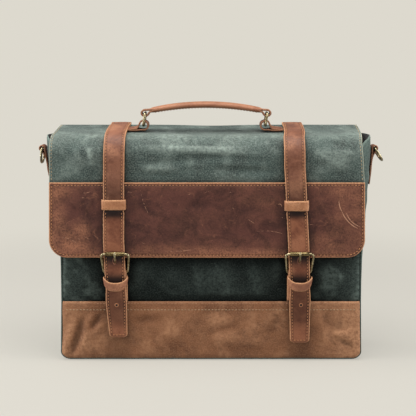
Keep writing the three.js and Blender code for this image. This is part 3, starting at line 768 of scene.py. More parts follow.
def flap_wear(sheet):
    """Pale rubbing on the hems, on the roll and on the tops of the creases."""
    ridge = np.clip(sheet.depth - 0.2, 0, 2) * 0.40
    roll = 0.40 * np.exp(-(((sheet.s - 78) / 13) ** 2)) + 0.2 * np.exp(-(((sheet.s - 55) / 22) ** 2))
    hem = 0.3 * np.exp(-sheet.edge / 5)
    cloud = 0.34 * smooth(fbm(sheet.a, sheet.s, 9.0, 34, 4), 0.0, 0.42)
    return ridge + roll + hem + cloud


def beside_straps(x, z, half=STRAP_HALF, reach=4.5):
    """1 at the straps' edges, fading away from them: the painted shade beside them."""
    return np.exp(-np.clip(from_straps(x, z) - half, 0, None) / reach)


def flap_shade(sheet):
    """Painted shade beside the straps from the roll down, and along the canvas just above the leather's
    edge.
    """
    z = sheet.top[:, :, 2]
    straps = 0.7 * beside_straps(sheet.a, z) * smooth(sheet.s, 78, 96)
    foot = 0.7 * np.exp(-np.abs(z - LEATHER_TOP - 1) / 2.0)
    return straps + foot


flap_canvas.build(
    "flap_canvas", (GREEN, HEM, GREEN), FLAP_BLEND, "green_canvas", "flap_top_canvas",
    "flap_front_canvas", wear_and_light=flap_wear, shade_and_darkening=flap_shade,
)

LINING_BOTTOM = 144.5
points, normals = flap_spine(4.0, 0.8, end_z=LINING_BOTTOM)
left, right = flap_edges(points)
lining_inset = 3 + round_inset(points[:, 1] - LINING_BOTTOM, FLAP_CORNER)


def lining_relief(x, s):
    """The lining follows the canvas down, and never rises above it."""
    return np.where(s < 146, np.minimum(flap_relief(x, s), 0.0), 0.1) - 0.3


flap_lining = Sheet(
    in_3d(points), in_3d(normals), ACROSS, left + lining_inset, right - lining_inset, 0.8,
    relief=lining_relief, pitch=5.0, border=0.6, drop=0.3,
)
flap_lining.build(
    "flap_lining", [LINING] * 3, FLAP_BLEND, "lining_cloth", "flap_top_lining", "flap_front_lining",
)

rows = flap_canvas.hems(3.0, 4, flap_canvas.run[-1] - 5)
stitches("flap_hem_stitches", rows, CREAM_THREAD, FLAP_BLEND, length=3.2, gap=1.5, radius=0.42)

# The leather panel: square at the top, round at its bottom corners.
close = np.array([0.4, 0.9, 1.5, 2.6, 3.4, 4.1])
heights = [heights_between(LEATHER_TOP, FLAP_BOTTOM, 1.9), FLAP_BOTTOM + close, LEATHER_TOP - close]
heights = np.unique(np.concatenate(heights))[::-1]
corner_inset = round_inset(heights - FLAP_BOTTOM, FLAP_CORNER)
left, right = flap_edges(np.array([(FLAP_Y, z) for z in heights]))
hide_creases = Creases(11, (-205, 5, 200, 95), 12, (20, 70), (0.10, 0.28), (2.5, 6), (-60, 60))
hide_creases.add(-150, 22, 70, 22, 0.45, 3.2).add(-160, 30, 110, 18, 0.35, 3).add(-96, 40, 80, 30, 0.3, 4)
hide_creases.add(150, 40, 62, 26, 0.35, 3).add(60, 78, 10, 40, 0.25, 5)


def hide_relief(x, s):
    """Slow waves, flattened under the straps."""
    waves = 0.45 * fbm(x, s, 2.0, 60, 3) + hide_creases(x, s)
    drape = 0.54 * smooth(s, 60, 99) * np.sin(x / 58 + 0.6)
    return (waves + drape) * (0.2 + 0.8 * smooth(from_straps(x, 200), 12, 30))


flap_leather = Sheet(
    *upright(FLAP_Y - LEATHER_RIGHT, heights, -1), left + corner_inset, right - corner_inset, 2.2,
    relief=hide_relief, border=1.2, groove=3.4, pitch=2.0, drop=0.6, groove_depth=0.4,
)


def hide_wear(sheet):
    """Handled and scraped places: the lower left, the right end, along the edges."""
    a, s = sheet.a, sheet.s
    low = smooth(s, 60, 99)
    edge = (0.75 + 0.35 * low) * np.exp(-sheet.near / 2.6) + (0.2 + 0.2 * low) * np.exp(-sheet.near / 8)
    patch = 0.0
    # Each place: across, along, its half width and half height, and how worn it is.
    for x, y, wide, high, much in (
        (-186, 80, 26, 16, 0.85), (-200, 50, 10, 40, 0.70), (-172, 62, 14, 12, 0.55),
        (-196, 16, 16, 12, 0.45), (150, 80, 24, 14, 0.45), (186, 52, 26, 40, 0.40),
        (178, 14, 30, 12, 0.40), (-60, 88, 60, 6, 0.35), (40, 92, 70, 5, 0.45), (-20, 50, 60, 16, 0.14),
        (60, 24, 40, 10, 0.16),
    ):
        patch = patch + much * np.exp(-(((a - x) / wide) ** 2) - ((s - y) / high) ** 2)
    rough = 0.55 + 0.7 * fbm(a, s, 6.0, 16, 5)
    ridge = 0.35 * np.clip(sheet.depth, 0, 1)
    return edge * (0.75 + 0.5 * rough) + patch * np.clip(rough + 0.25, 0.1, 1.6) + ridge


def hide_shade_and_mottle(sheet):
    # Painted shade beside the straps, and dark mottling strongest around the middle height.
    z = LEATHER_TOP - sheet.s
    dark = 0.55 * smooth(fbm(sheet.a, sheet.s, 21.0, 70, 3), 0.0, 0.6)
    return 0.75 * beside_straps(sheet.a, z, reach=5.0) + 0.35 * dark * np.exp(-((z - 190) / 40) ** 2)


flap_leather.build(
    "flap_leather", (HIDE, EDGE, DARK_EDGE), "flap_front", "flap_leather", "flap_leather", wear_and_light=hide_wear,
    shade_and_darkening=hide_shade_and_mottle,
)


def leather_outline(inset):
    """(a, s) pairs round the leather panel, inset from its edge, and along its top."""
    total = flap_leather.run[-1]
    s = np.linspace(inset, total - inset, 240)
    low, high = flap_leather.ends_at(s)
    # The row follows the round corners at a constant distance from the edge.
    curve = FLAP_CORNER - inset
    turned_in = np.clip(np.clip(FLAP_CORNER - (total - s), 0, FLAP_CORNER) / curve, 0, 1)
    extra = inset + curve - curve * np.sqrt(1 - turned_in**2) - round_inset(total - s, FLAP_CORNER)
    low, high = low + extra, high - extra
    bottom = [(a, total - inset) for a in np.linspace(low[-1], high[-1], 300)[1:-1]]
    top = [(a, inset) for a in np.linspace(high[0], low[0], 300)[1:-1]]
    return [*zip(low, s), *bottom, *zip(high[::-1], s[::-1])], top


around, along_top = leather_outline(3.4)
stitches(
    "leather_stitches", [flap_leather.trace(around), flap_leather.trace(along_top)], TAN_THREAD,
    "flap_front", length=3.2, gap=1.2, radius=0.5, sink=0.0,
)


# ------------------------------------------------------------------ scuffs on the leather
def scuff(path, width, break_up):
    """A scratch: a thin uneven ribbon just proud of the leather, with gaps."""
    path = resample(path, 0.8)
    pts, nrm = flap_leather.trace([(x, LEATHER_TOP - z) for x, z in path], 0.06)
    verts, faces = [], []
    side = unit(np.cross(unit(np.gradient(pts, axis=0)), nrm))
    count = len(pts)
    for i in range(count):
        t = i / (count - 1)
        w = width * (0.25 + 0.75 * math.sin(math.pi * t)) * (0.75 + 0.5 * rng.random())
        verts += [pts[i] + side[i] * w / 2, pts[i] + nrm[i] * 0.05, pts[i] - side[i] * w / 2]
    for i in range(count - 1):
        if noise.noise((i * 0.23, width, 3.1)) < break_up:
            continue
        k = 3 * i
        faces += [(k, k + 1, k + 4, k + 3), (k + 1, k + 2, k + 5, k + 4)]
    return verts, faces


def arc(p0, p1, bow, count=24):
    """A curve from p0 to p1 that bows out sideways."""
    p0, p1 = np.array(p0, float), np.array(p1, float)
    t = np.linspace(0, 1, count)[:, None]
    d = p1 - p0
    n = np.array([-d[1], d[0]]) / np.linalg.norm(d)
    return p0 + d * t + n * bow * (4 * t * (1 - t))


# Each scratch: its path, its width, and how readily it breaks up.
scratches = [
    (arc((166.5, 217), (170.5, 203), -1.0), 1.3, -0.9), (arc((170.5, 203), (192, 180), -3.0), 1.4, -0.9),
    (arc((176.5, 201), (196, 182), -3.4), 1.1, -0.7), (arc((87, 212), (92, 209), 2.0), 0.8, -0.6),
    (arc((60, 176), (96, 172), 2.5), 0.45, 0.0), (arc((-60, 150), (-20, 153), -1.5), 0.5, 0.0),
    (arc((-196, 168), (-176, 160), 2.0), 0.6, -0.1), (arc((-92, 232), (-80, 196), -2.0), 0.4, 0.05),
]
for _ in range(18):
    x0, z0 = rng.uniform(-195, 195), rng.uniform(150, 232)
    turn, reach = rng.uniform(-0.7, 0.7), rng.uniform(2, 11)
    away = (x0 + reach * math.cos(turn), z0 + reach * math.sin(turn))
    scratches.append((arc((x0, z0), away, rng.uniform(-0.6, 0.6), 10), rng.uniform(0.25, 0.5), -0.2))
verts, faces = joined([scuff(*scratch) for scratch in scratches])
SCUFF = leather("scuffed_leather", srgb(168, 118, 92), srgb(196, 146, 116), srgb(220, 176, 144), 0.8)
place(mesh_object("leather_scuffs", verts, faces, [SCUFF]), "flap_front", "flap_leather")


# ------------------------------------------------------------------ straps
def strap_lift(points):
    """How high the strap's right side lies over the flap: it climbs onto the leather panel."""
    step = smooth(-points[:, 1], -256, -244)
    return STRAP_OVER_CANVAS + step * (STRAP_OVER_LEATHER - STRAP_OVER_CANVAS)


def strap_wear(seed, much=0.5):
    def wear_and_light(sheet):
        edge = 0.75 * np.exp(-sheet.near / 1.6) + 0.2 * np.exp(-sheet.edge / 5)
        patch = much * smooth(fbm(sheet.a + seed, sheet.s, seed, 34, 4), 0.02, 0.5)
        return edge + patch + 0.3 * np.clip(sheet.depth, 0, 1)

    return wear_and_light


def strap_relief(seed, height=0.5):
    folds = Creases(seed, (-13, 0, 13, 330), 16, (10, 30), (0.08, 0.22), (2, 5), (-30, 30))

    def relief(a, s):
        centre = a - a.mean(-1, keepdims=True)
        crown = 0.35 * (1 - (centre / 14) ** 2)
        return crown + height * fbm(s * 0 + seed, s, seed, 55, 2) * 0.5 + folds(centre, s)

    return relief


# (y, z) points down the free tail's right side, to which its tip is added.
TAIL_SPINE = [
    (-57.9, 204.7), (-58.1, 190), (-58.7, 168), (-59.6, 150), (-60.7, 134), (-61.2, 119), (-61.0, 105),
    (-60.2, 80), (-59.0, 55),
]
TIP = {"left": 33.6, "right": 26.4}  # height of the tail's tip
FOOT_EDGES = {"left": (-134.2, -111.2), "right": (105.2, 130.4)}  # x of the tip's corners
KEEPER_UPPER = {"left": (205.2, 218.6), "right": (203.9, 217.2)}  # its bottom and top
LEATHER_LOOKS = (STRAP, EDGE, DARK_EDGE)
STRAP_HEM = 3.3  # how far in the straps' stitches lie
TAIL_CORNER = 4.5  # radius of the tip's corners
HOLE_HEIGHTS = (138.0, 78.4)


def sewn_strap(label, side, seed):
    """The sewn part, from the back seam over the roll and under the upper keeper."""
    points, normals = flap_spine(2.6, strap_lift, start=1.0, end_z=205.4)
    places = strap_x(label, points[:, 1])
    soft = strap_relief(seed)
    sewn = Sheet(
        in_3d(points), in_3d(normals), ACROSS, places - STRAP_HALF, places + STRAP_HALF, 3.0,
        relief=lambda a, s: soft(a, s) - 0.35 - 1.8 * (1 - smooth(s, 20, 34)), border=0.9,
        groove=STRAP_HEM, pitch=2.2, drop=0.8,
    )
    sewn.build(
        f"strap_upper_{label}", LEATHER_LOOKS, FLAP_BLEND, "strap_leather", f"strap_top_{label}",
        f"strap_front_{label}", wear_and_light=strap_wear(seed, 0.6),
        # Darker down the front towards the upper keeper, less so along the edges.
        shade_and_darkening=lambda sh: 0.55 * smooth(sh.s, 120, sh.run[-1]) * (1 - 0.6 * np.exp(-sh.edge / 2)),
        shift=(40 * side, 13),
    )
    rows = sewn.hems(STRAP_HEM, 2)
    stitches(f"strap_upper_stitches_{label}", rows, TAN_THREAD, FLAP_BLEND, radius=0.45)


def free_tail(label, side, seed):
    """The free tail, narrowing to a nearly square tip, with its holes."""
    tip = TIP[label]
    path = smooth_path(TAIL_SPINE + [(-58.6, tip)], 2.4)
    heights = path[:, 1]
    middle = strap_x(label, heights)
    taper = smooth(heights, tip - 22, 97)
    wide = np.interp(heights, [26, 84, 99, 113, 126, 205], [14, 14, 13.2, 13.2, 13.8, 13.8])
    toe_left, toe_right = FOOT_EDGES[label]
    left = toe_left + (middle - wide - toe_left) * taper
    right = toe_right + (middle + wide - toe_right) * taper
    if label == "left":
        right = np.where(heights < 60, np.minimum(right, toe_right + 0.8), right)
    inset = round_inset(heights - tip, TAIL_CORNER) + 0.12 * np.clip(heights - 200, 0, 5)
    soft = strap_relief(seed + 5, 0.7)
    tail = Sheet(
        in_3d(path), in_3d(path_normals(path)), ACROSS, left + inset, right - inset, 2.6,
        relief=lambda a, s: soft(a, s) - 0.35, border=0.9, ends=(False, True), groove=STRAP_HEM,
        pitch=2.0, drop=0.8,
    )

    def tail_shade_and_darkening(sheet):
        """Painted shade under the upper keeper, under the buckle's bar and in the lower keeper's mouth, and
        a darker stretch low on the tail.
        """
        z = np.interp(sheet.s, sheet.run, heights)
        middle = np.clip(1 - (np.abs(sheet.a - sheet.a.mean(1)[:, None]) / 14) ** 4, 0, 1)
        under_keeper = smooth(z, 190, 199)
        foot = 0.5 * (1 - smooth(z, 88, 110)) * smooth(z, 40, 60)
        under_bar = 1.15 * smooth(z, 124, 145) * (1 - smooth(z, 147, 151))
        mouth = 1.2 * smooth(z, 105, 108) * (1 - smooth(z, 110, 128))
        return (under_keeper + under_bar + mouth + foot) * (0.35 + 0.65 * middle)

    tail.build(
        f"strap_free_{label}", (TAIL, EDGE, DARK_EDGE), f"strap_{label}", "strap_leather",
        f"strap_tail_{label}", wear_and_light=strap_wear(seed + 9, 0.35), shade_and_darkening=tail_shade_and_darkening, shift=(-70 * side, 31),
    )
    total = tail.run[-1]
    foot_left, foot_right = tail.ends_at(total - 5)
    rows = tail.hems(STRAP_HEM, 2, total - 4.2)
    rows.append(tail.cross(total - 3.6, foot_left + 3.6, foot_right - 3.6, 30))
    stitches(f"strap_free_stitches_{label}", rows, TAN_THREAD, f"strap_{label}", radius=0.45)
    for number, z in enumerate(HOLE_HEIGHTS):
        s = float(np.interp(-z, -heights, tail.run))
        x = sum(tail.ends_at(s)) / 2 + (1.3 if number and side > 0 else 0.2)
        eyelet(f"strap_hole_{label}_{number}", tail.trace([(x, s)], 0.05), number, label)


def eyelet(name, spot, number, label):
    """A punched hole: a dimple with a pressed ring, its bottom a near-black face of painted shade. The lower
    hole's ring is lighter; the upper hole is pulled long, and its ring is in the darker strap leather,
    painted shade under the buckle's bar.
    """
    (centre,), (out,) = spot
    down = unit(np.cross(out, ACROSS)) * (1.9 if number == 0 else 1.0)
    sides = 24
    points, faces = [], []
    for k in range(sides):
        turn = 2 * math.pi * k / sides
        way = math.cos(turn) * ACROSS + math.sin(turn) * down
        for reach, lift in ((2.9, -0.2), (2.2, 0.35), (1.6, 0.3), (1.45, 0.05)):
            points.append(centre + way * reach + out * lift)
        for q in range(3):
            a, b = 4 * k + q, 4 * ((k + 1) % sides) + q
            faces.append((a, a + 1, b + 1, b))
    faces.append(tuple(range(3, 4 * sides, 4)))
    looks = [KEEPER if number else STRAP, HOLE_SHADE]
    piece = mesh_object(name, points, faces, looks, [0, 0, 1] * sides + [1])
    place(piece, f"strap_{label}", "strap_leather", f"strap_tail_{label}")


def upper_keeper(label, side, seed):
    """A band sewn down on both sides of the strap."""
    low, high = KEEPER_UPPER[label]
    half, z = (high - low) / 2, (low + high) / 2
    rise = [(-16.4, -54.5), (-15.6, -57.0), (-15.1, -59.4), (-13.4, -60.6), (-6, -60.9)]
    path = smooth_path(rise + [(0, -61.0)] + [(-x, y) for x, y in reversed(rise)], 1.6)
    keeper = Sheet(
        in_xy(path + [strap_x(label, z), 0], z), in_xy(path_normals(path)), (0, 0, 1), -half, half, 1.9,
        relief=lambda a, s: 0.25 * (1 - (a / 7) ** 2) + 0.15 * fbm(a, s, 3.0, 14, 2), border=0.9,
        pitch=1.8, drop=0.7,
    )
    keeper.build(
        f"keeper_upper_{label}", (KEEPER, EDGE, DARK_EDGE), "flap_front", "strap_leather",
        f"keeper_upper_{label}", wear_and_light=strap_wear(seed + 2, 0.6), shift=(11, 90 * side),
    )
    rows = [keeper.line(a, 5, keeper.run[-1] - 5) for a in (2.4 - half, half - 2.4)]
    stitches(f"keeper_stitches_{label}", rows, TAN_THREAD, "flap_front", length=2.6, radius=0.38)


def lower_keeper(label, side, seed):
    """A loose loop round the strap and the tab. Its front hangs lower than its sides and its
    mouth stands open."""
    loop = [(0, -52.2), (11, -52.4), (14.8, -54.6), (15.5, -58.4), (14.9, -62.4), (10, -65.2)]
    loop += [(0, -66.1)] + [(-x, y) for x, y in reversed(loop[1:])] + [(-1, -52.2)]
    path = smooth_path(loop, 1.5)[::-1]
    forward = np.clip(1 - np.abs(path[:, 0] / 15.5) ** 2.8, 0, 1) * (path[:, 1] < -57)
    spine = in_xy(path + [strap_x(label, 106), 0], 110.2 - 6.6 * forward)
    flat_out = in_xy(path_normals(path))
    lean = (0.17 * smooth(-path[:, 1], 53, 60))[:, None]
    upward = np.array([0.0, 0.0, 1.0])
    keeper = Sheet(
        spine, unit(flat_out - lean * upward), unit(upward + lean * flat_out), -6.0, 6.0, 1.5,
        relief=lambda a, s: 0.3 * (1 - (a / 6) ** 2) + 0.2 * fbm(a, s, 8.0, 16, 2), border=1.0, pitch=1.8,
        drop=0.7,
    )
    keeper.build(
        f"keeper_lower_{label}", LEATHER_LOOKS, f"strap_{label}", "strap_leather",
        f"keeper_lower_{label}", wear_and_light=strap_wear(seed + 3, 0.6), shift=(23, 130 * side),
    )


def buckle(label, centre):
    """The wire frame, the roller on its upper bar, and the prong with its eye."""
    strap = f"strap_{label}"
    up = unit(ROLLER - HEEL)
    length = float(np.linalg.norm(ROLLER - HEEL))
    foot, top = 15.9, 17.9
    outline = [*bezier((foot - 4, 0), (foot - 0.3, 0), (foot, 1.2), (foot + 0.4, 5.5), 8)]
    outline += [
        *bezier(
            (top + 0.2, length - 6), (top + 0.2, length - 1.2), (top - 0.8, length), (top - 5, length), 8,
        )
    ]
    outline += [(-x, v) for x, v in reversed(outline)]
    frame_loop = [(centre + x, *(HEEL + up * v)) for x, v in closed_loop(outline, 1.3)]
    tube(
        f"buckle_frame_{label}", frame_loop, 1.55, BRASS, strap, "brass", f"buckle_frame_{label}",
        closed=True, sides=14, normal=(0, -up[1], up[0]),
    )

    ends = [(13, 1.9), (12.6, 2.5), (12.2, 2.8), (6, 2.86)]
    shape = [(-x, r) for x, r in ends] + [(0, 2.88)] + ends[::-1]
    tube(
        f"buckle_roller_{label}", [(centre + x, *ROLLER) for x, _ in shape], [r for _, r in shape],
        DULL_BRASS, f"roller_{label}", "brass", f"buckle_roller_{label}", sides=24, normal=(0, 0, 1),
    )

    prong = [(-53.4, 124.3), (-54.5, 129), (-59, 134.6), (-64.4, 140.2), (-66.9, 145.2), (-67.1, 151.0)]
    prong = smooth_path(prong, 0.9)
    run = np.linspace(0, 1, len(prong))
    radii = 1.65 - 0.35 * run - 0.5 * smooth(run, 0.9, 1.0)
    nodes = (f"prong_{label}", "brass", f"prong_{label}")
    prong_x = centre + 0.2
    tube(
        f"prong_{label}", in_3d(prong, prong_x), radii, BRASS, *nodes, sides=14, flat=0.9,
        normal=(0, -1, 0),
    )
    eye = in_3d(turned(*HEEL, 2.75, 2.75, [360 * k / 28 for k in range(28)]), prong_x)
    tube(f"prong_eye_{label}", eye, 0.8, BRASS, *nodes, closed=True, sides=10, flat=1.9)


def buckle_tab(label, side, centre, seed):
    """The tab: down behind the strap, its fold slotted round the prong."""
    shift = -1.9 * side
    looks = (LEATHER_LOOKS, f"strap_{label}", "strap_leather", f"buckle_tab_{label}")
    fold = turned(*HEEL, 3.5, 3.5, np.linspace(165, -10, 12))
    path = [(-56.9, 84.2), (-56.9, 95), (-57.0, 108), *fold, (-52.0, 112), (-54.0, 104)]
    path = smooth_path(path, 1.4)
    for part, (low, high) in enumerate(((-13.2, -2.4), (2.4, 13.2))):
        middle = centre + shift * 0.5
        tab = Sheet(
            in_3d(path), in_3d(-path_normals(path)), ACROSS, middle + low, middle + high, 1.5,
            relief=lambda a, s: 0.1 * fbm(a, s, 5.0, 9, 2), border=0.6, pitch=2.2, drop=0.4,
        )
        tab.build(f"buckle_tab_{label}_{part}", *looks, wear_and_light=strap_wear(seed + 4))
    plate = Sheet(
        *upright(-56.7, resample([(0, 117), (0, 83.4)], 2.4)[:, 1], -1), centre + shift - 13.6,
        centre + shift + 13.6, 2.2, border=0.9, groove=3.0, pitch=2.4, drop=0.6,
    )
    plate.build(f"buckle_tab_plate_{label}", *looks, wear_and_light=strap_wear(seed + 6))


def repaint(node, look):
    """Gives a CAD node that is shown as it is a material."""
    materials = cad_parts[node].data.materials
    materials.clear()
    materials.append(look)


for label, side in SIDES.items():
    seed = 20 + side
    centre = strap_x(label, 134) + (0.8 if label == "left" else 0.2)
    sewn_strap(label, side, seed)
    free_tail(label, side, seed)
    upper_keeper(label, side, seed)
    lower_keeper(label, side, seed)
    buckle(label, centre)
    buckle_tab(label, side, centre, seed)
    repaint(f"snap_stud_{label}", BRASS)
    repaint(f"snap_socket_{label}", BRASS)


# ------------------------------------------------------------------ handle
LEAN = math.radians(7.5)  # how far the rings lean to the right
PITCH = 81.5  # from the handle's middle to each ring
RING_LOW, RING_HEIGHT = 311.7, 16.5
HANDLE_X = -9.0  # the middle between the rings' feet
TAB_HEM = 6.8  # how far from a tab's middle its stitches lie
TOP_X = HANDLE_X + RING_HEIGHT * math.sin(LEAN)
TOP_Z = RING_LOW + RING_HEIGHT * math.cos(LEAN)


def arch(x):
    """Height of the grip's middle line."""
    t = (x - TOP_X) / PITCH
    return TOP_Z + 1.4 + 9.4 * (1 - t * t)


def loop_sheet(path, about, across, half, thick, grain, groove=2.6):
    """A strip along an (x, z) path, its right side away from the point about. grain is its
    unevenness: height, seed and size."""
    normals = in_xz(path_normals(path))
    middle = len(path) // 2
    if np.dot(path[middle] - np.array(about), normals[middle][[0, 2]]) < 0:
        normals = -normals
    height, seed, size = grain
    return Sheet(
        in_xz(path), normals, across, -half, half, thick,
        relief=lambda a, s: height * fbm(a, s, seed, size, 2), border=0.8, groove=groove, pitch=2.2,
        drop=0.6,
    )


def handle_ring(label, foot_x):
    """A rectangular wire ring standing in the leather loops, leaning to the right."""
    w, h, r = 11.9, RING_HEIGHT, 3.4
    corners = []
    for x, z, start in ((w - r, r, -90), (w - r, h - r, 0), (-w + r, h - r, 90), (-w + r, r, 180)):
        corners += turned(x, z, r, r, range(start, start + 91, 15))
    base, up = np.array([foot_x, 0, RING_LOW]), np.array([math.sin(LEAN), 0, math.cos(LEAN)])
    ring = [base + np.array([0.0, a, 0.0]) + up * b for a, b in closed_loop(corners, 1.5)]
    tube(
        f"handle_ring_{label}", ring, 1.6, BRASS, f"ring_{label}", "brass", f"handle_ring_{label}",
        closed=True, sides=14, normal=(math.cos(LEAN), 0, -math.sin(LEAN)),
    )


def handle_tab(label, side, foot_x):
    """The tab that holds the ring: under the strap, over the ring's lower bar and back."""
    seat, slope = 305.9, 8 / 69.5  # height of the flap's top here, and its fall to the front
    rise = [(24, 1.7), (16, 2.3), (9, 4.0)]
    path = [(foot_x + side * a, seat + b) for a, b in rise]
    path += turned(foot_x, RING_LOW + 0.1, side * 7.2, 7.1, (35, 60, 90, 120, 150, 180, 210, 235, 262))
    path += [(foot_x + side * 7, seat - 0.9), (foot_x + side * 22, seat - 0.8)]
    path = smooth_path(path, 1.3)[::-side]
    on_bag = smooth(np.abs(path[:, 0] - foot_x), 3, 10)
    across = unit(np.stack([0 * on_bag, 1 + 0 * on_bag, slope * on_bag], 1))
    tab = loop_sheet(path, (foot_x, RING_LOW), across, 9.4, 2.1, (0.15, 7.0, 12))
    tab.build(
        f"handle_tab_{label}", (STRAP, LOOP_EDGE, LOOP_INSIDE_SHADE), "flap_top", "strap_leather",
        f"handle_tab_{label}", wear_and_light=strap_wear(31 + side, 0.6), shift=(17 * side, 210),
    )
    along = (1, 15) if side < 0 else (tab.run[-1] - 15, tab.run[-1] - 1)
    rows = [tab.line(a, *along) for a in (-TAB_HEM, TAB_HEM)]
    stitches(f"handle_tab_stitches_{label}", rows, TAN_THREAD, "flap_top", length=2.6, radius=0.38)


for label, side in SIDES.items():
    handle_ring(label, HANDLE_X + side * PITCH)
    handle_tab(label, side, HANDLE_X + side * PITCH)


def grip_fullness(share):
    return 1 - 0.16 * share**3


def handle_grip():
    """Leather rolled round a cord, arched, its seam underneath."""
    half_length, sides = 75.5, 26
    points, cloth, worn_and_lit = [], [], []
    lengths = np.linspace(-half_length, half_length, 76)
    for x in lengths:
        share = abs(x) / half_length
        full = grip_fullness(share) - 0.20 * smooth(share, 0.93, 1.0)
        here = TOP_X + x
        centre = np.array([here, 0, arch(here)])
        along = unit(np.array([1, 0, (arch(here + 1) - arch(here - 1)) / 2]))
        up = np.array([-along[2], 0, along[0]])
        for k in range(sides):
            turn = 2 * math.pi * k / sides
            y, z = math.cos(turn), math.sin(turn)
            lump = 1 + 0.02 * noise.noise((x * 0.05, y * 1.5, z * 1.5 + 3))
            wide = 10.3 * full * math.copysign(abs(y) ** 0.92, y) * lump
            tall = (4.6 if z > 0 else 4.0) * full * math.copysign(abs(z) ** 0.85, z) * lump
            seam = 0.7 * math.exp(-((turn - 1.5 * math.pi) / 0.12) ** 2)
            points.append(centre + np.array([0, wide, 0]) + up * (tall + seam))
            cloth.append((turn * 7, x + 300, 0))
            rub = 0.3 * max(0.0, noise.noise((x * 0.04, k * 0.2, 1)))
            # The upper half is paler: a painted highlight from above; the ends and the noise patches are
            # rubbed.
            worn_and_lit.append(0.25 * max(0, z) + 0.5 * smooth(share, 0.9, 1.0) + rub)
    faces = ring_faces(len(lengths), sides)
    piece = mesh_object("handle_grip", points, faces, [GRIP], None, {"cloth": cloth, "wear_and_light": worn_and_lit})
    place(piece, "handle", "grip_leather", "handle_grip")
    rows = []
    for y in (-2.6, 2.6):
        line = []
        for x in np.linspace(-70, 70, 120):
            full = grip_fullness(abs(x) / half_length)
            drop = 4.0 * full * (1 - (y / (10.3 * full)) ** 2) ** 0.5
            line.append((TOP_X + x, y, arch(TOP_X + x) - drop - 0.1))
        rows.append((np.array(line), np.array([(0, 0, -1.0)] * len(line))))
    stitches("handle_grip_stitches", rows, TAN_THREAD, "handle", length=3.0, radius=0.4)


def handle_end(label, side):
    """One end of the strip through the grip, turned round the ring's upper bar."""
    over = [(TOP_X + side * a, arch(TOP_X + side * a) + b) for a, b in ((64, 1.2), (72, 2.2))]
    under = [(TOP_X + side * a, arch(TOP_X + side * a) + b) for a, b in ((74, -2.4), (64, -1.2))]
    eye = TOP_X + side * PITCH
    round_bar = turned(eye, TOP_Z, side * 6.0, 5.1, (78, 50, 25, 0, -25, -50, -80, -110, -140))
    path = smooth_path(over + round_bar + under, 1.2)
    core = loop_sheet(path, (eye, TOP_Z), (0, 1, 0), 8.8, 2.4, (0.15, 2.0, 10), groove=2.4)
    core.build(
        f"handle_end_{label}", (GRIP, LOOP_EDGE, LOOP_INSIDE_SHADE), "handle", "grip_leather", "handle_core",
        wear_and_light=strap_wear(41 + side, 0.7), shift=(9, 70 * side),
    )


handle_grip()
for label, side in SIDES.items():
    handle_end(label, side)


# ------------------------------------------------------------------ D-rings
DRING_LEAN = {"left": 5.0, "right": 33.0}
DRING_Z = 281.0


def swell(label, y, z):
    """How far an end panel swells out; its front corner tucks in at the top."""
    full = SWELL[label] * smooth(z, *SWELL_RISE[label]) * (1 - (y / HALF_DEPTH) ** 2)
    return full - 7.5 * smooth(-y, 30, 46) * smooth(z, 246, 268)


def dring(label, side, x):
    """A D of wire that hangs from its straight side, leaning out."""
    lean = math.radians(DRING_LEAN[label])
    down = np.array([side * math.sin(lean), 0, -math.cos(lean)])
    bow = bezier((12, 3.2), (12.2, 18.4), (7, 19.6), (0, 19.6), 14)
    curve = [(11.4, 0.5), (12, 1.6), *bow]
    outline = [(-10.6, 0.0), (0.0, 0.0), (10.6, 0.0), *curve, *((-a, b) for a, b in reversed(curve[:-1]))]
    ring = [np.array([x, a, DRING_Z]) + down * b for a, b in closed_loop(outline, 1.4)]
    tube(
        f"dring_{label}", ring, 1.5, BRASS, f"dring_{label}", "brass", f"dring_{label}", closed=True,
        sides=14, normal=np.cross(down, (0, 1, 0)),
    )


def dring_tab(label, side, x):
    """The tab on the end panel: it follows the panel's swelling and turns round the ring."""
    panel = side * (200 + SWELL[label] + 1.0)
    foot_in = 0.0 if label == "left" else 0.8
    low, middle, high = (SWELL[label] - float(swell(label, 0.0, z)) for z in (232.5, 250, 262))
    path = [(panel + side * (foot_in - low), 232.5), (panel + side * (1.6 - middle), 250)]
    path += [(panel + side * (2.8 - high), 268)]
    path += turned(x, DRING_Z, side * 4.4, 4.4, (-62, -30, 0, 30, 60, 90, 120, 150, 180))
    path += [(panel + side * (0.3 - high), 266), (panel - side * (1.0 + middle), 246)]
    tab = loop_sheet(smooth_path(path, 1.4), (x, DRING_Z), (0, 1, 0), 9.4, 1.7, (0.2, 6.0, 14))
    tab.build(
        f"dring_tab_{label}", (STRAP, LOOP_EDGE, DARK_EDGE), "bag_body", "strap_leather",
        f"dring_tab_{label}", wear_and_light=strap_wear(51 + side, 0.7), shift=(5, 170 * side),
    )
    rows = [tab.line(a, 2, 34) for a in (-TAB_HEM, TAB_HEM)] + [tab.cross(3.0, -TAB_HEM, TAB_HEM, 14)]
    stitches(f"dring_tab_stitches_{label}", rows, TAN_THREAD, "bag_body", length=2.6, radius=0.38)


for label, side in SIDES.items():
    ring_x = side * (200 + SWELL[label] + 5.8)
    dring(label, side, ring_x)
    dring_tab(label, side, ring_x)


# ------------------------------------------------------------------ body
def half_width(z):
    """Half the width of the front and back panels, with round bottom corners."""
    z = np.asarray(z, float)
    wide = np.interp(z, [0, 40, 80, 140, 300], [201.8, 200.6, 199.4, 198.8, 199.4])
    return wide - round_inset(z, 12)


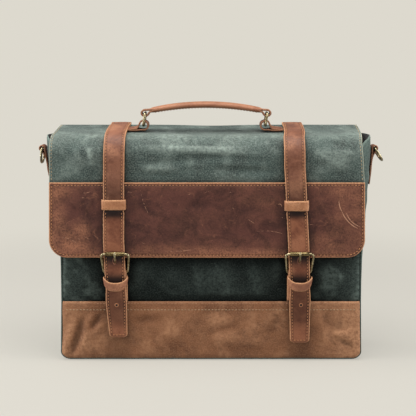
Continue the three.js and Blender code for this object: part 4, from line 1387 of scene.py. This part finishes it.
panel_creases = Creases(5, (-190, 60, 190, 160), 26, (30, 90), (0.35, 1.0), (5, 13), (40, 140))
panel_creases.add(-20, 112, 80, 30, 0.9, 9).add(60, 104, 100, 34, 0.8, 8).add(-170, 110, 70, 26, 0.9, 7)
panel_creases.add(170, 112, 110, 28, 0.9, 7).add(20, 92, 4, 60, 0.7, 6)
band_creases = Creases(17, (-195, 4, 195, 76), 22, (20, 80), (0.3, 0.9), (4, 11), (0, 180))
band_creases.add(-181, 31, 72, 34, -3.6, 5).add(-156, 51, 51, 18, -3.0, 5).add(-191, 33, 72, 32, 1.8, 5)
band_creases.add(-169, 30, 70, 34, 2.4, 6).add(-148, 47, 50, 20, 2.0, 5).add(150, 30, 84, 26, 1.8, 7)
band_creases.add(-84, 57, 6, 26, -1.8, 6).add(-66, 30, 80, 20, 1.2, 7).add(-128, 18, 60, 22, 1.2, 6)
band_creases.add(178, 25, -28, 20, -2.0, 4).add(176, 36, 10, 18, 1.8, 6).add(153, 57, 100, 16, -1.5, 7)
band_creases.add(40, 26, 172, 70, 1.3, 8).add(20, 44, 20, 40, -1.3, 7).add(84, 50, 62, 20, -1.3, 6)
back_creases = Creases(23, (-190, 10, 190, 290), 34, (40, 130), (0.3, 0.9), (7, 18), (0, 180))


def clear_of_straps(x, near=15, far=32):
    return smooth(from_straps(x, 110), near, far)


def rounded_sides(x, half, radius):
    """How far the surface has turned back near a panel's side edges."""
    return -round_inset(half - np.abs(x), radius)


def front_relief(x, s):
    """The front panel: puffed between the straps, flat behind the flap and the base band."""
    z = FRONT_TOP - s
    puff = 2.2 * (1 - (x / 200) ** 4) * np.exp(-(((z - 110) / 34) ** 2)) * clear_of_straps(x)
    cloth = panel_creases(x, z) + 0.7 * fbm(x, z, 12.0, 50, 3)
    open_part = (1 - 0.85 * smooth(z, 134, 146)) * smooth(z, 82, 92)
    cloth = np.clip(cloth * (0.12 + 0.88 * clear_of_straps(x, 14, 26)) * open_part, -1.8, 2.0)
    behind_band = -0.9 * (1 - smooth(z, 80, 86))
    return puff * open_part + cloth + behind_band + rounded_sides(x, half_width(z), 5.0)


def band_relief(x, s):
    """The base band: puffed, creased, and tucked under at the bottom edge."""
    z = BAND_TOP - s
    puff = 1.5 * np.sin(np.clip(z / BAND_TOP, 0, 1) * math.pi) * (1 - (x / 200) ** 4)
    cloth = band_creases(x, z) + 0.8 * fbm(x, z, 31.0, 42, 3)
    calm = smooth(z, 0, 9) * (0.12 + 0.88 * (1 - smooth(z, 64, 74)))
    tuck = -5.5 * (1 - np.sqrt(np.clip(1 - (np.clip(9 - z, 0, 9) / 9) ** 2, 0, 1)))
    cloth = np.clip(cloth * calm * (0.5 + 0.5 * clear_of_straps(x)), -3.2, 2.4)
    return puff * 0.9 + cloth + tuck + rounded_sides(x, half_width(z), 5.5)


def back_relief(x, s):
    z = BACK_TOP - s
    cloth = np.clip(back_creases(x, z) + 0.8 * fbm(x, s, 2.0, 60, 3), -1.6, 1.6)
    cloth = cloth * (1 - smooth(s, 235, 239)) * smooth(s, 0, 20)
    puff = 0.96 * (1 - (x / 200) ** 4) * np.sin(np.clip(z / BACK_TOP, 0, 1) * math.pi)
    return cloth + puff * smooth(s, 50, 90) + rounded_sides(x, half_width(z), 5.0)


def panel(top, bottom, y, facing, thick, relief, **style):
    """A front or back panel, with closer rows where its bottom corners turn."""
    close = [z for z in (0.5, 1.2, 2.2, 3.5, 5, 7, 9, 11.5) if bottom < z < top]
    heights = np.unique(np.concatenate([heights_between(top, bottom, 2.6), close]))[::-1]
    half = half_width(heights)
    return Sheet(*upright(y, heights, facing), -half, half, thick, relief, border=1.0, **style)


# Rubbed hems and ridges, and pale clouds away from the middle; the paler tone towards both ends is painted
# light from the sides.
def front_wear_and_side_light(sheet):
    away = np.abs(sheet.a)
    cloud = 0.65 * smooth(fbm(sheet.a, sheet.s, 3.0, 24, 4), -0.15, 0.45) * smooth(away, 80, 150)
    ridge = 0.25 * np.clip(sheet.depth - 1.2, 0, 2)
    return ridge + 0.7 * np.exp(-sheet.edge / 7) + cloud + 0.15 * smooth(away, 130, 170)


# Painted shade: under the flap, across the middle more than at the ends, along the band's top seam and
# beside the straps.
def under_flap_shade(sheet):
    z = FRONT_TOP - sheet.s
    middle = 1 - smooth(np.abs(sheet.a), 148, 192)
    shade = (0.2 + 0.12 * middle) * smooth(z, 116, 141) * (1 - smooth(z, 146, 180)) + 0.32 * middle
    seam = 0.5 * np.exp(-np.abs(z - BAND_TOP) / 3)
    return shade + seam + 0.5 * beside_straps(sheet.a, z, 14, 8) * (1 - smooth(z, 146, 180))


def band_wear(sheet):
    z = BAND_TOP - sheet.s
    top = 0.7 * np.exp(-np.abs(sheet.s - 0.8) / 1.2)
    low = 0.45 * np.exp(-z / 5)
    cloud = 0.4 * smooth(fbm(sheet.a, sheet.s, 3.0, 40, 4), 0.05, 0.5)
    ends = 0.55 * smooth(np.abs(sheet.a), 150, 200) + 0.4 * smooth(sheet.a, 120, 180)
    return top + low + cloud + ends + 0.25 * np.clip(sheet.depth - 0.5, 0, 2)


def band_shade(sheet):
    """Painted shade in the creases, beside the straps and along the bottom edge where the band tucks under.
    """
    z = BAND_TOP - sheet.s
    creases = 0.24 * np.clip(-band_creases(sheet.a, z) - 0.3, 0, 1.8) * (1 - smooth(z, 66, 72))
    return creases + 0.25 * beside_straps(sheet.a, z, 14, 6) + 0.35 * np.exp(-z / 1.6)


CANVAS = ("bag_body", "green_canvas")
BAND = ("bag_body", "brown_canvas")
BODY_LOOKS = (GREEN_BODY, GREEN_BODY, LINING)
FRONT_LOOKS = (GREEN_FRONT_SHADED, GREEN_FRONT_SHADED, LINING)

front = panel(FRONT_TOP, 60, -48.0, -1.0, 1.8, front_relief, drop=0.6)
front.build("front_panel", FRONT_LOOKS, *CANVAS, "front_panel", wear_and_light=front_wear_and_side_light, shade_and_darkening=under_flap_shade)
band = panel(BAND_TOP, 0.0, -49.6, -1.0, 1.3, band_relief, drop=0.9)
band.build("front_band", [BROWN] * 3, *BAND, "front_base_panel", wear_and_light=band_wear, shade_and_darkening=band_shade)


def band_row(sheet, s):
    """A row of stitches across a band, from 5 mm inside one edge to the other."""
    left, right = sheet.ends_at(s)
    return sheet.cross(s, left + 5, right - 5, 400)


for name, s, cotton in (("band_stitches_top", 2.8, BROWN_THREAD), ("band_stitches", 11.2, CREAM_THREAD)):
    stitches(name, [band_row(band, s)], cotton, "bag_body", length=3.1, gap=1.4, radius=0.42)

back = panel(BACK_TOP, 60, 48.0, 1.0, 1.8, back_relief, drop=0.6)
back.build(
    "back_panel", BODY_LOOKS, *CANVAS, "back_panel",
    wear_and_light=lambda sh: 0.3 * np.clip(sh.depth - 0.4, 0, 2) + 0.5 * np.exp(-sh.edge / 5),
)
back_band = panel(BAND_TOP, 0.0, 49.6, 1.0, 1.3, lambda x, s: band_relief(-x, s), drop=0.9)
back_band.build("back_band", [BROWN] * 3, *BAND, "back_base_panel", wear_and_light=band_wear)
COARSE = {"length": 3.3, "gap": 1.3, "radius": 0.46}
rows = [band_row(back_band, s) for s in (2.6, 11.8)]
stitches("back_band_stitches", rows, CREAM_THREAD, "bag_body", **COARSE)

# The facing on the back that the flap is sewn to, and its rolled seam.
yoke = Sheet(
    *upright(50.3, heights_between(303.4, 256, 2.6), 1), -204.5, 198.5, 1.3,
    relief=lambda x, s: 0.35 * fbm(x, s, 7.0, 40, 2) * smooth(s, 0, 10) + 0.9 * (
        1 - (x / 205) ** 4
    ) * smooth(s, 10, 40),
    border=1.0, drop=0.6,
)
yoke.build(
    "flap_yoke", [GREEN] * 3, *CANVAS, "flap_yoke",
    wear_and_light=lambda sh: 0.6 * np.exp(-sh.near / 1.2) + 0.2 * np.clip(sh.depth, 0, 2),
)
rows = [yoke.cross(s, -200, 194, 400) for s in (4.5, 43.5)]
rows += [yoke.trace([(x, s) for s in np.linspace(4.5, 43.5, 50)]) for x in (-201.0, 195.0)]
stitches("yoke_stitches", rows, CREAM_THREAD, "bag_body", **COARSE)
bead = [
    (x, HINGE[0] - 0.4, HINGE[1] - 0.2 + 0.25 * noise.noise((x * 0.03, 2, 1)))
    for x in np.linspace(-209, 204, 120)
]
tube("flap_seam_roll", bead, 2.2, GREEN, *CANVAS, "flap_yoke", sides=14, normal=(0, 0, 1))


def gusset(label, side, top=299.0):
    """An end panel, swollen out, its open top dipping towards the front."""
    seed = 41 if label == "left" else 43
    creases = Creases(seed, (-44, 10, 44, 285), 26, (20, 70), (0.4, 1.1), (4, 10), (0, 180))

    def relief(a, s):
        z = top - s
        cloth = creases(a, z) + 0.7 * fbm(a, z, 3.0 * side, 36, 3)
        tab = smooth(np.maximum(np.abs(a) / 9.5, np.abs(z - 262) / 32), 1.0, 1.6)
        calm = (1 - smooth(np.abs(a), 34, 45)) * (0.1 + 0.9 * tab) * smooth(z, 8, 26)
        return swell(label, a, z) + np.clip(cloth, -1.6, 1.5) * calm - 1.75 * (1 - smooth(z, 9, 22))

    heights = heights_between(top, 9.0, 3.0)
    spine = np.array([(side * 199.6, 0.0, z) for z in heights])
    end = Sheet(
        spine, [(side, 0.0, 0.0)] * len(heights), (0, 1, 0), -46.5, 46.5, 1.8, relief=relief, border=1.0,
        ends=(True, False), drop=0.6, pitch=2.8,
    )
    sharp = 3 if label == "left" else 6
    low = np.where(end.a < 0, 29.0, 1.5) * np.abs(end.a / HALF_DEPTH) ** sharp
    for layer in (end.top, end.under):
        layer[:, :, 2] -= low * (1 - np.clip(end.s / 290, 0, 1))

    def wear_and_light(sheet):
        # Rubbing along the edges and pale clouds, and a painted lightening towards the top.
        cloud = 0.3 * smooth(fbm(sheet.a, sheet.s, 5.0, 30, 4), 0.0, 0.5)
        return 0.6 * np.exp(-sheet.near / 2.5) + cloud + 0.2 * smooth(sheet.s, 290, 60)

    end.build(f"gusset_{label}", BODY_LOOKS, *CANVAS, f"gusset_{label}", wear_and_light=wear_and_light)


def piping(label, side):
    """Piping along the two seams of an end panel."""
    for where, y, top in (("front", -46.6, 270.0), ("back", 46.6, 297.5)):
        line = [
            (side * (half_width(z) - 0.5), y + 0.2 * noise.noise((z * 0.05, side, y)), z)
            for z in np.linspace(top, 12, 110)
        ]
        corner = turned(side * 189.4, 12, side * 12, -10.6, range(10, 91, 10))
        line = resample(line + [(x, y, z) for x, z in corner], 2.4)
        name = f"piping_{where}_{label}"
        tube(name, line, 1.05, GREEN_BODY, *CANVAS, f"gusset_{label}", sides=10, normal=(0, 1, 0))


for label, side in SIDES.items():
    gusset(label, side)
    piping(label, side)

# The bottom, turned up at both ends.
path = turned(-189.2, 12.6, -12, -12, range(0, 91, 10)) + [(x, 0.6) for x in np.linspace(-186, 186, 90)]
path += turned(189.2, 12.6, 12, -12, range(90, -1, -10))
bottom = Sheet(
    in_xz(path), in_xz(path_normals(path)), (0, 1, 0), -46.2, 46.2, 1.8,
    relief=lambda a, s: 0.12 * fbm(
        a, s, 4.0, 40, 2,
    ), border=1.0, drop=0.6, pitch=4.0, ends=(False, False),
)
bottom.build(
    "bottom_panel", BODY_LOOKS, *CANVAS, "bottom_panel", wear_and_light=lambda sh: 0.4 * np.exp(-sh.near / 3),
)
for where, y in (("front", -46.8), ("back", 46.8)):
    line = [(x, y, 1.5) for x in np.linspace(-190, 190, 160)]
    name = f"piping_bottom_{where}"
    tube(name, line, 1.2, GREEN_BODY, *CANVAS, "bottom_panel", sides=10, normal=(0, 0, 1))


# ------------------------------------------------------------------ inside
def lining_loop(z, inset):
    """A closed loop of the lining at one height, following the swollen ends."""
    loop = []
    depth = 45.6 - inset
    foot = 8 * (1 - smooth(z, 4, 20))
    for label, side, seed in (("right", 1, 1), ("left", -1, 5)):
        for x in side * np.linspace(-186, 186, 94):
            loop.append((x, side * (-depth + 0.35 * noise.noise((x * 0.02, z * 0.02, seed))), z))
        for y in side * np.linspace(-depth + 5, depth - 5, 22):
            loop.append((side * (195.6 - inset + swell(label, y, z) - foot), y, z))
    return loop


heights = list(np.linspace(4.8, 264, 44))
loops = [lining_loop(z, 0.0) for z in heights]
loops += [lining_loop(z, 0.8) for z in [264.0] + heights[::-1][1:-1] + [5.6]]
points = [p for loop in loops for p in loop]
cloth = [(x + y, z, y * 0.3) for x, y, z in points]
faces = ring_faces(len(loops), len(loops[0]))
piece = mesh_object("lining", points, faces, [LINING], None, {"cloth": cloth})
place(piece, "bag_body", "lining_cloth", "lining")

pocket = Sheet(
    *upright(-43.5, heights_between(226, 96, 3.0), 1), -95, 95, 1.0,
    relief=lambda a, s: 0.3 * fbm(a, s, 1.0, 40, 2) * (1 - np.abs(a) / 95), border=0.8, pitch=4.0,
    drop=0.4,
)
pocket.build("slip_pocket", (FOAM, FOAM, LINING), "bag_body", "lining_cloth", "slip_pocket")
rows = [pocket.line(a, 1, 128) for a in (-92.5, 92.5)]
rows += [pocket.cross(s, -92, 92, 180) for s in (127.4, 9.0)]
stitches("slip_pocket_stitches", rows, GREEN_THREAD, "bag_body", length=3.0, radius=0.38)


def divider():
    """A quilted pad with a bound edge."""
    cols, rows = 95, 60
    half = cols * rows
    points, cloth = [], []
    for face in (-1, 1):
        for v in (2 * j / (rows - 1) - 1 for j in range(rows)):
            for u in (2 * i / (cols - 1) - 1 for i in range(cols)):
                x, z = 187 * u, 122 + 115.6 * v
                edge = min(1 - abs(u), (1 - abs(v)) * 0.62) * 187
                quilt = 0.35 + 0.65 * (1 - math.exp(-((((x + 400) % 62) - 31) / 3.2) ** 2))
                full = 3.3 * (1 - math.exp(-edge / 5)) * quilt
                bulge = 0.5 + full + 0.2 * noise.noise((x * 0.03, z * 0.03, face))
                points.append((x, 24 + face * bulge, z))
                cloth.append((x, z, face))
    faces = []
    for j in range(rows - 1):
        for i in range(cols - 1):
            a = j * cols + i
            faces.append((a, a + 1, a + cols + 1, a + cols))
            faces.append((half + a + cols, half + a + cols + 1, half + a + 1, half + a))
    rim = round_edge(np.arange(half).reshape(rows, cols))
    faces += [(b, a, half + a, half + b) for a, b in zip(rim, rim[1:] + rim[:1])]
    piece = mesh_object("laptop_divider", points, faces, [FOAM], None, {"cloth": cloth})
    place(piece, "bag_body", "divider_foam", "laptop_divider")
    binding = [(-187, 24, 7), (-187, 24, 234), (-184, 24, 237.4)]
    binding = resample(binding + [(-x, y, z) for x, y, z in reversed(binding)], 3.0)
    nodes = ("bag_body", "divider_foam", "laptop_divider")
    tube("divider_binding", binding, 1.6, LINING, *nodes, sides=10, normal=(0, 1, 0))


divider()
repaint("base_board", BOARD)


# ------------------------------------------------------------------ stage
BACKDROP = srgb(221, 217, 206)
ROOM_LIGHT = 0.36  # how much the pale room lights the bag, beside how bright it looks
FLOOR_REACH = (0.30, 1.1)  # metres from the bag over which its soft shadow fades away


def glow(tree):
    """The backdrop's own colour to the eye, and a dimmer light to everything else."""
    rays = add_node(tree, "LightPath").outputs["Is Camera Ray"]
    seen = add_node(tree, "Emission", {"Color": BACKDROP})
    cast = add_node(tree, "Emission", {"Color": (0.72, 0.72, 0.72, 1), "Strength": ROOM_LIGHT})
    sockets = {0: rays, 1: cast.outputs[0], 2: seen.outputs[0]}
    return add_node(tree, "MixShader", sockets).outputs[0]


world = bpy.data.worlds.new("studio")
bpy.context.scene.world = world
world.use_nodes = True
fill(world.node_tree, world.node_tree.nodes["World Output"], {"Surface": glow(world.node_tree)})

bpy.ops.mesh.primitive_plane_add(size=14, location=(0, 0, -0.0008))
floor = bpy.context.object
floor.name = "floor"
ground = Nodes("floor")
matt = {"Base Color": (0.56, 0.54, 0.49, 1), "Roughness": 1.0, "Specular IOR Level": 0.0}
fill(ground.tree, ground.shader, matt)
centred = ground.add("TexCoord").outputs["Object"]
distance = ground.add("VectorMath", {0: centred}, operation="LENGTH").outputs["Value"]
fade = ground.span(distance, *FLOOR_REACH, 0.55)
blended = ground.add("MixShader", {0: fade, 1: ground.shader.outputs[0], 2: glow(ground.tree)})
fill(ground.tree, ground.out, {"Surface": blended.outputs[0]})
floor.data.materials.append(ground.material)


def lamp(name, place_m, aim_m, size, power, colour=(1, 1, 1)):
    data = bpy.data.lights.new(name, "AREA")
    data.shape = "RECTANGLE"
    data.size, data.size_y = size
    data.energy = power
    data.color = colour
    made = bpy.data.objects.new(name, data)
    bpy.context.collection.objects.link(made)
    made.location = place_m
    made.rotation_euler = (Vector(aim_m) - Vector(place_m)).to_track_quat("-Z", "Y").to_euler()
    return made


lamp("overhead", (-0.1, -0.25, 1.35), (0, 0, 0.15), (1.5, 0.8), 18, (1.0, 0.985, 0.965))
lamp("front", (-0.5, -1.9, 1.0), (0, 0, 0.15), (1.2, 0.9), 7.5, (1.0, 0.99, 0.975))
lamp("left", (-1.3, -0.3, 0.45), (-0.1, 0, 0.2), (0.5, 0.9), 9, (0.97, 0.99, 1.0))
lamp("right", (1.3, -0.3, 0.45), (0.1, 0, 0.2), (0.5, 0.9), 9, (0.97, 0.99, 1.0))

camera = bpy.data.cameras.new("camera")
camera.lens = 81
camera.sensor_width = 36
eye = bpy.data.objects.new("camera", camera)
bpy.context.collection.objects.link(eye)
eye.location = (-0.0042, -1.261, 0.3971)
eye.rotation_euler = (math.radians(81.06), 0, 0)
bpy.context.scene.camera = eye
bpy.context.scene.view_settings.view_transform = "Standard"
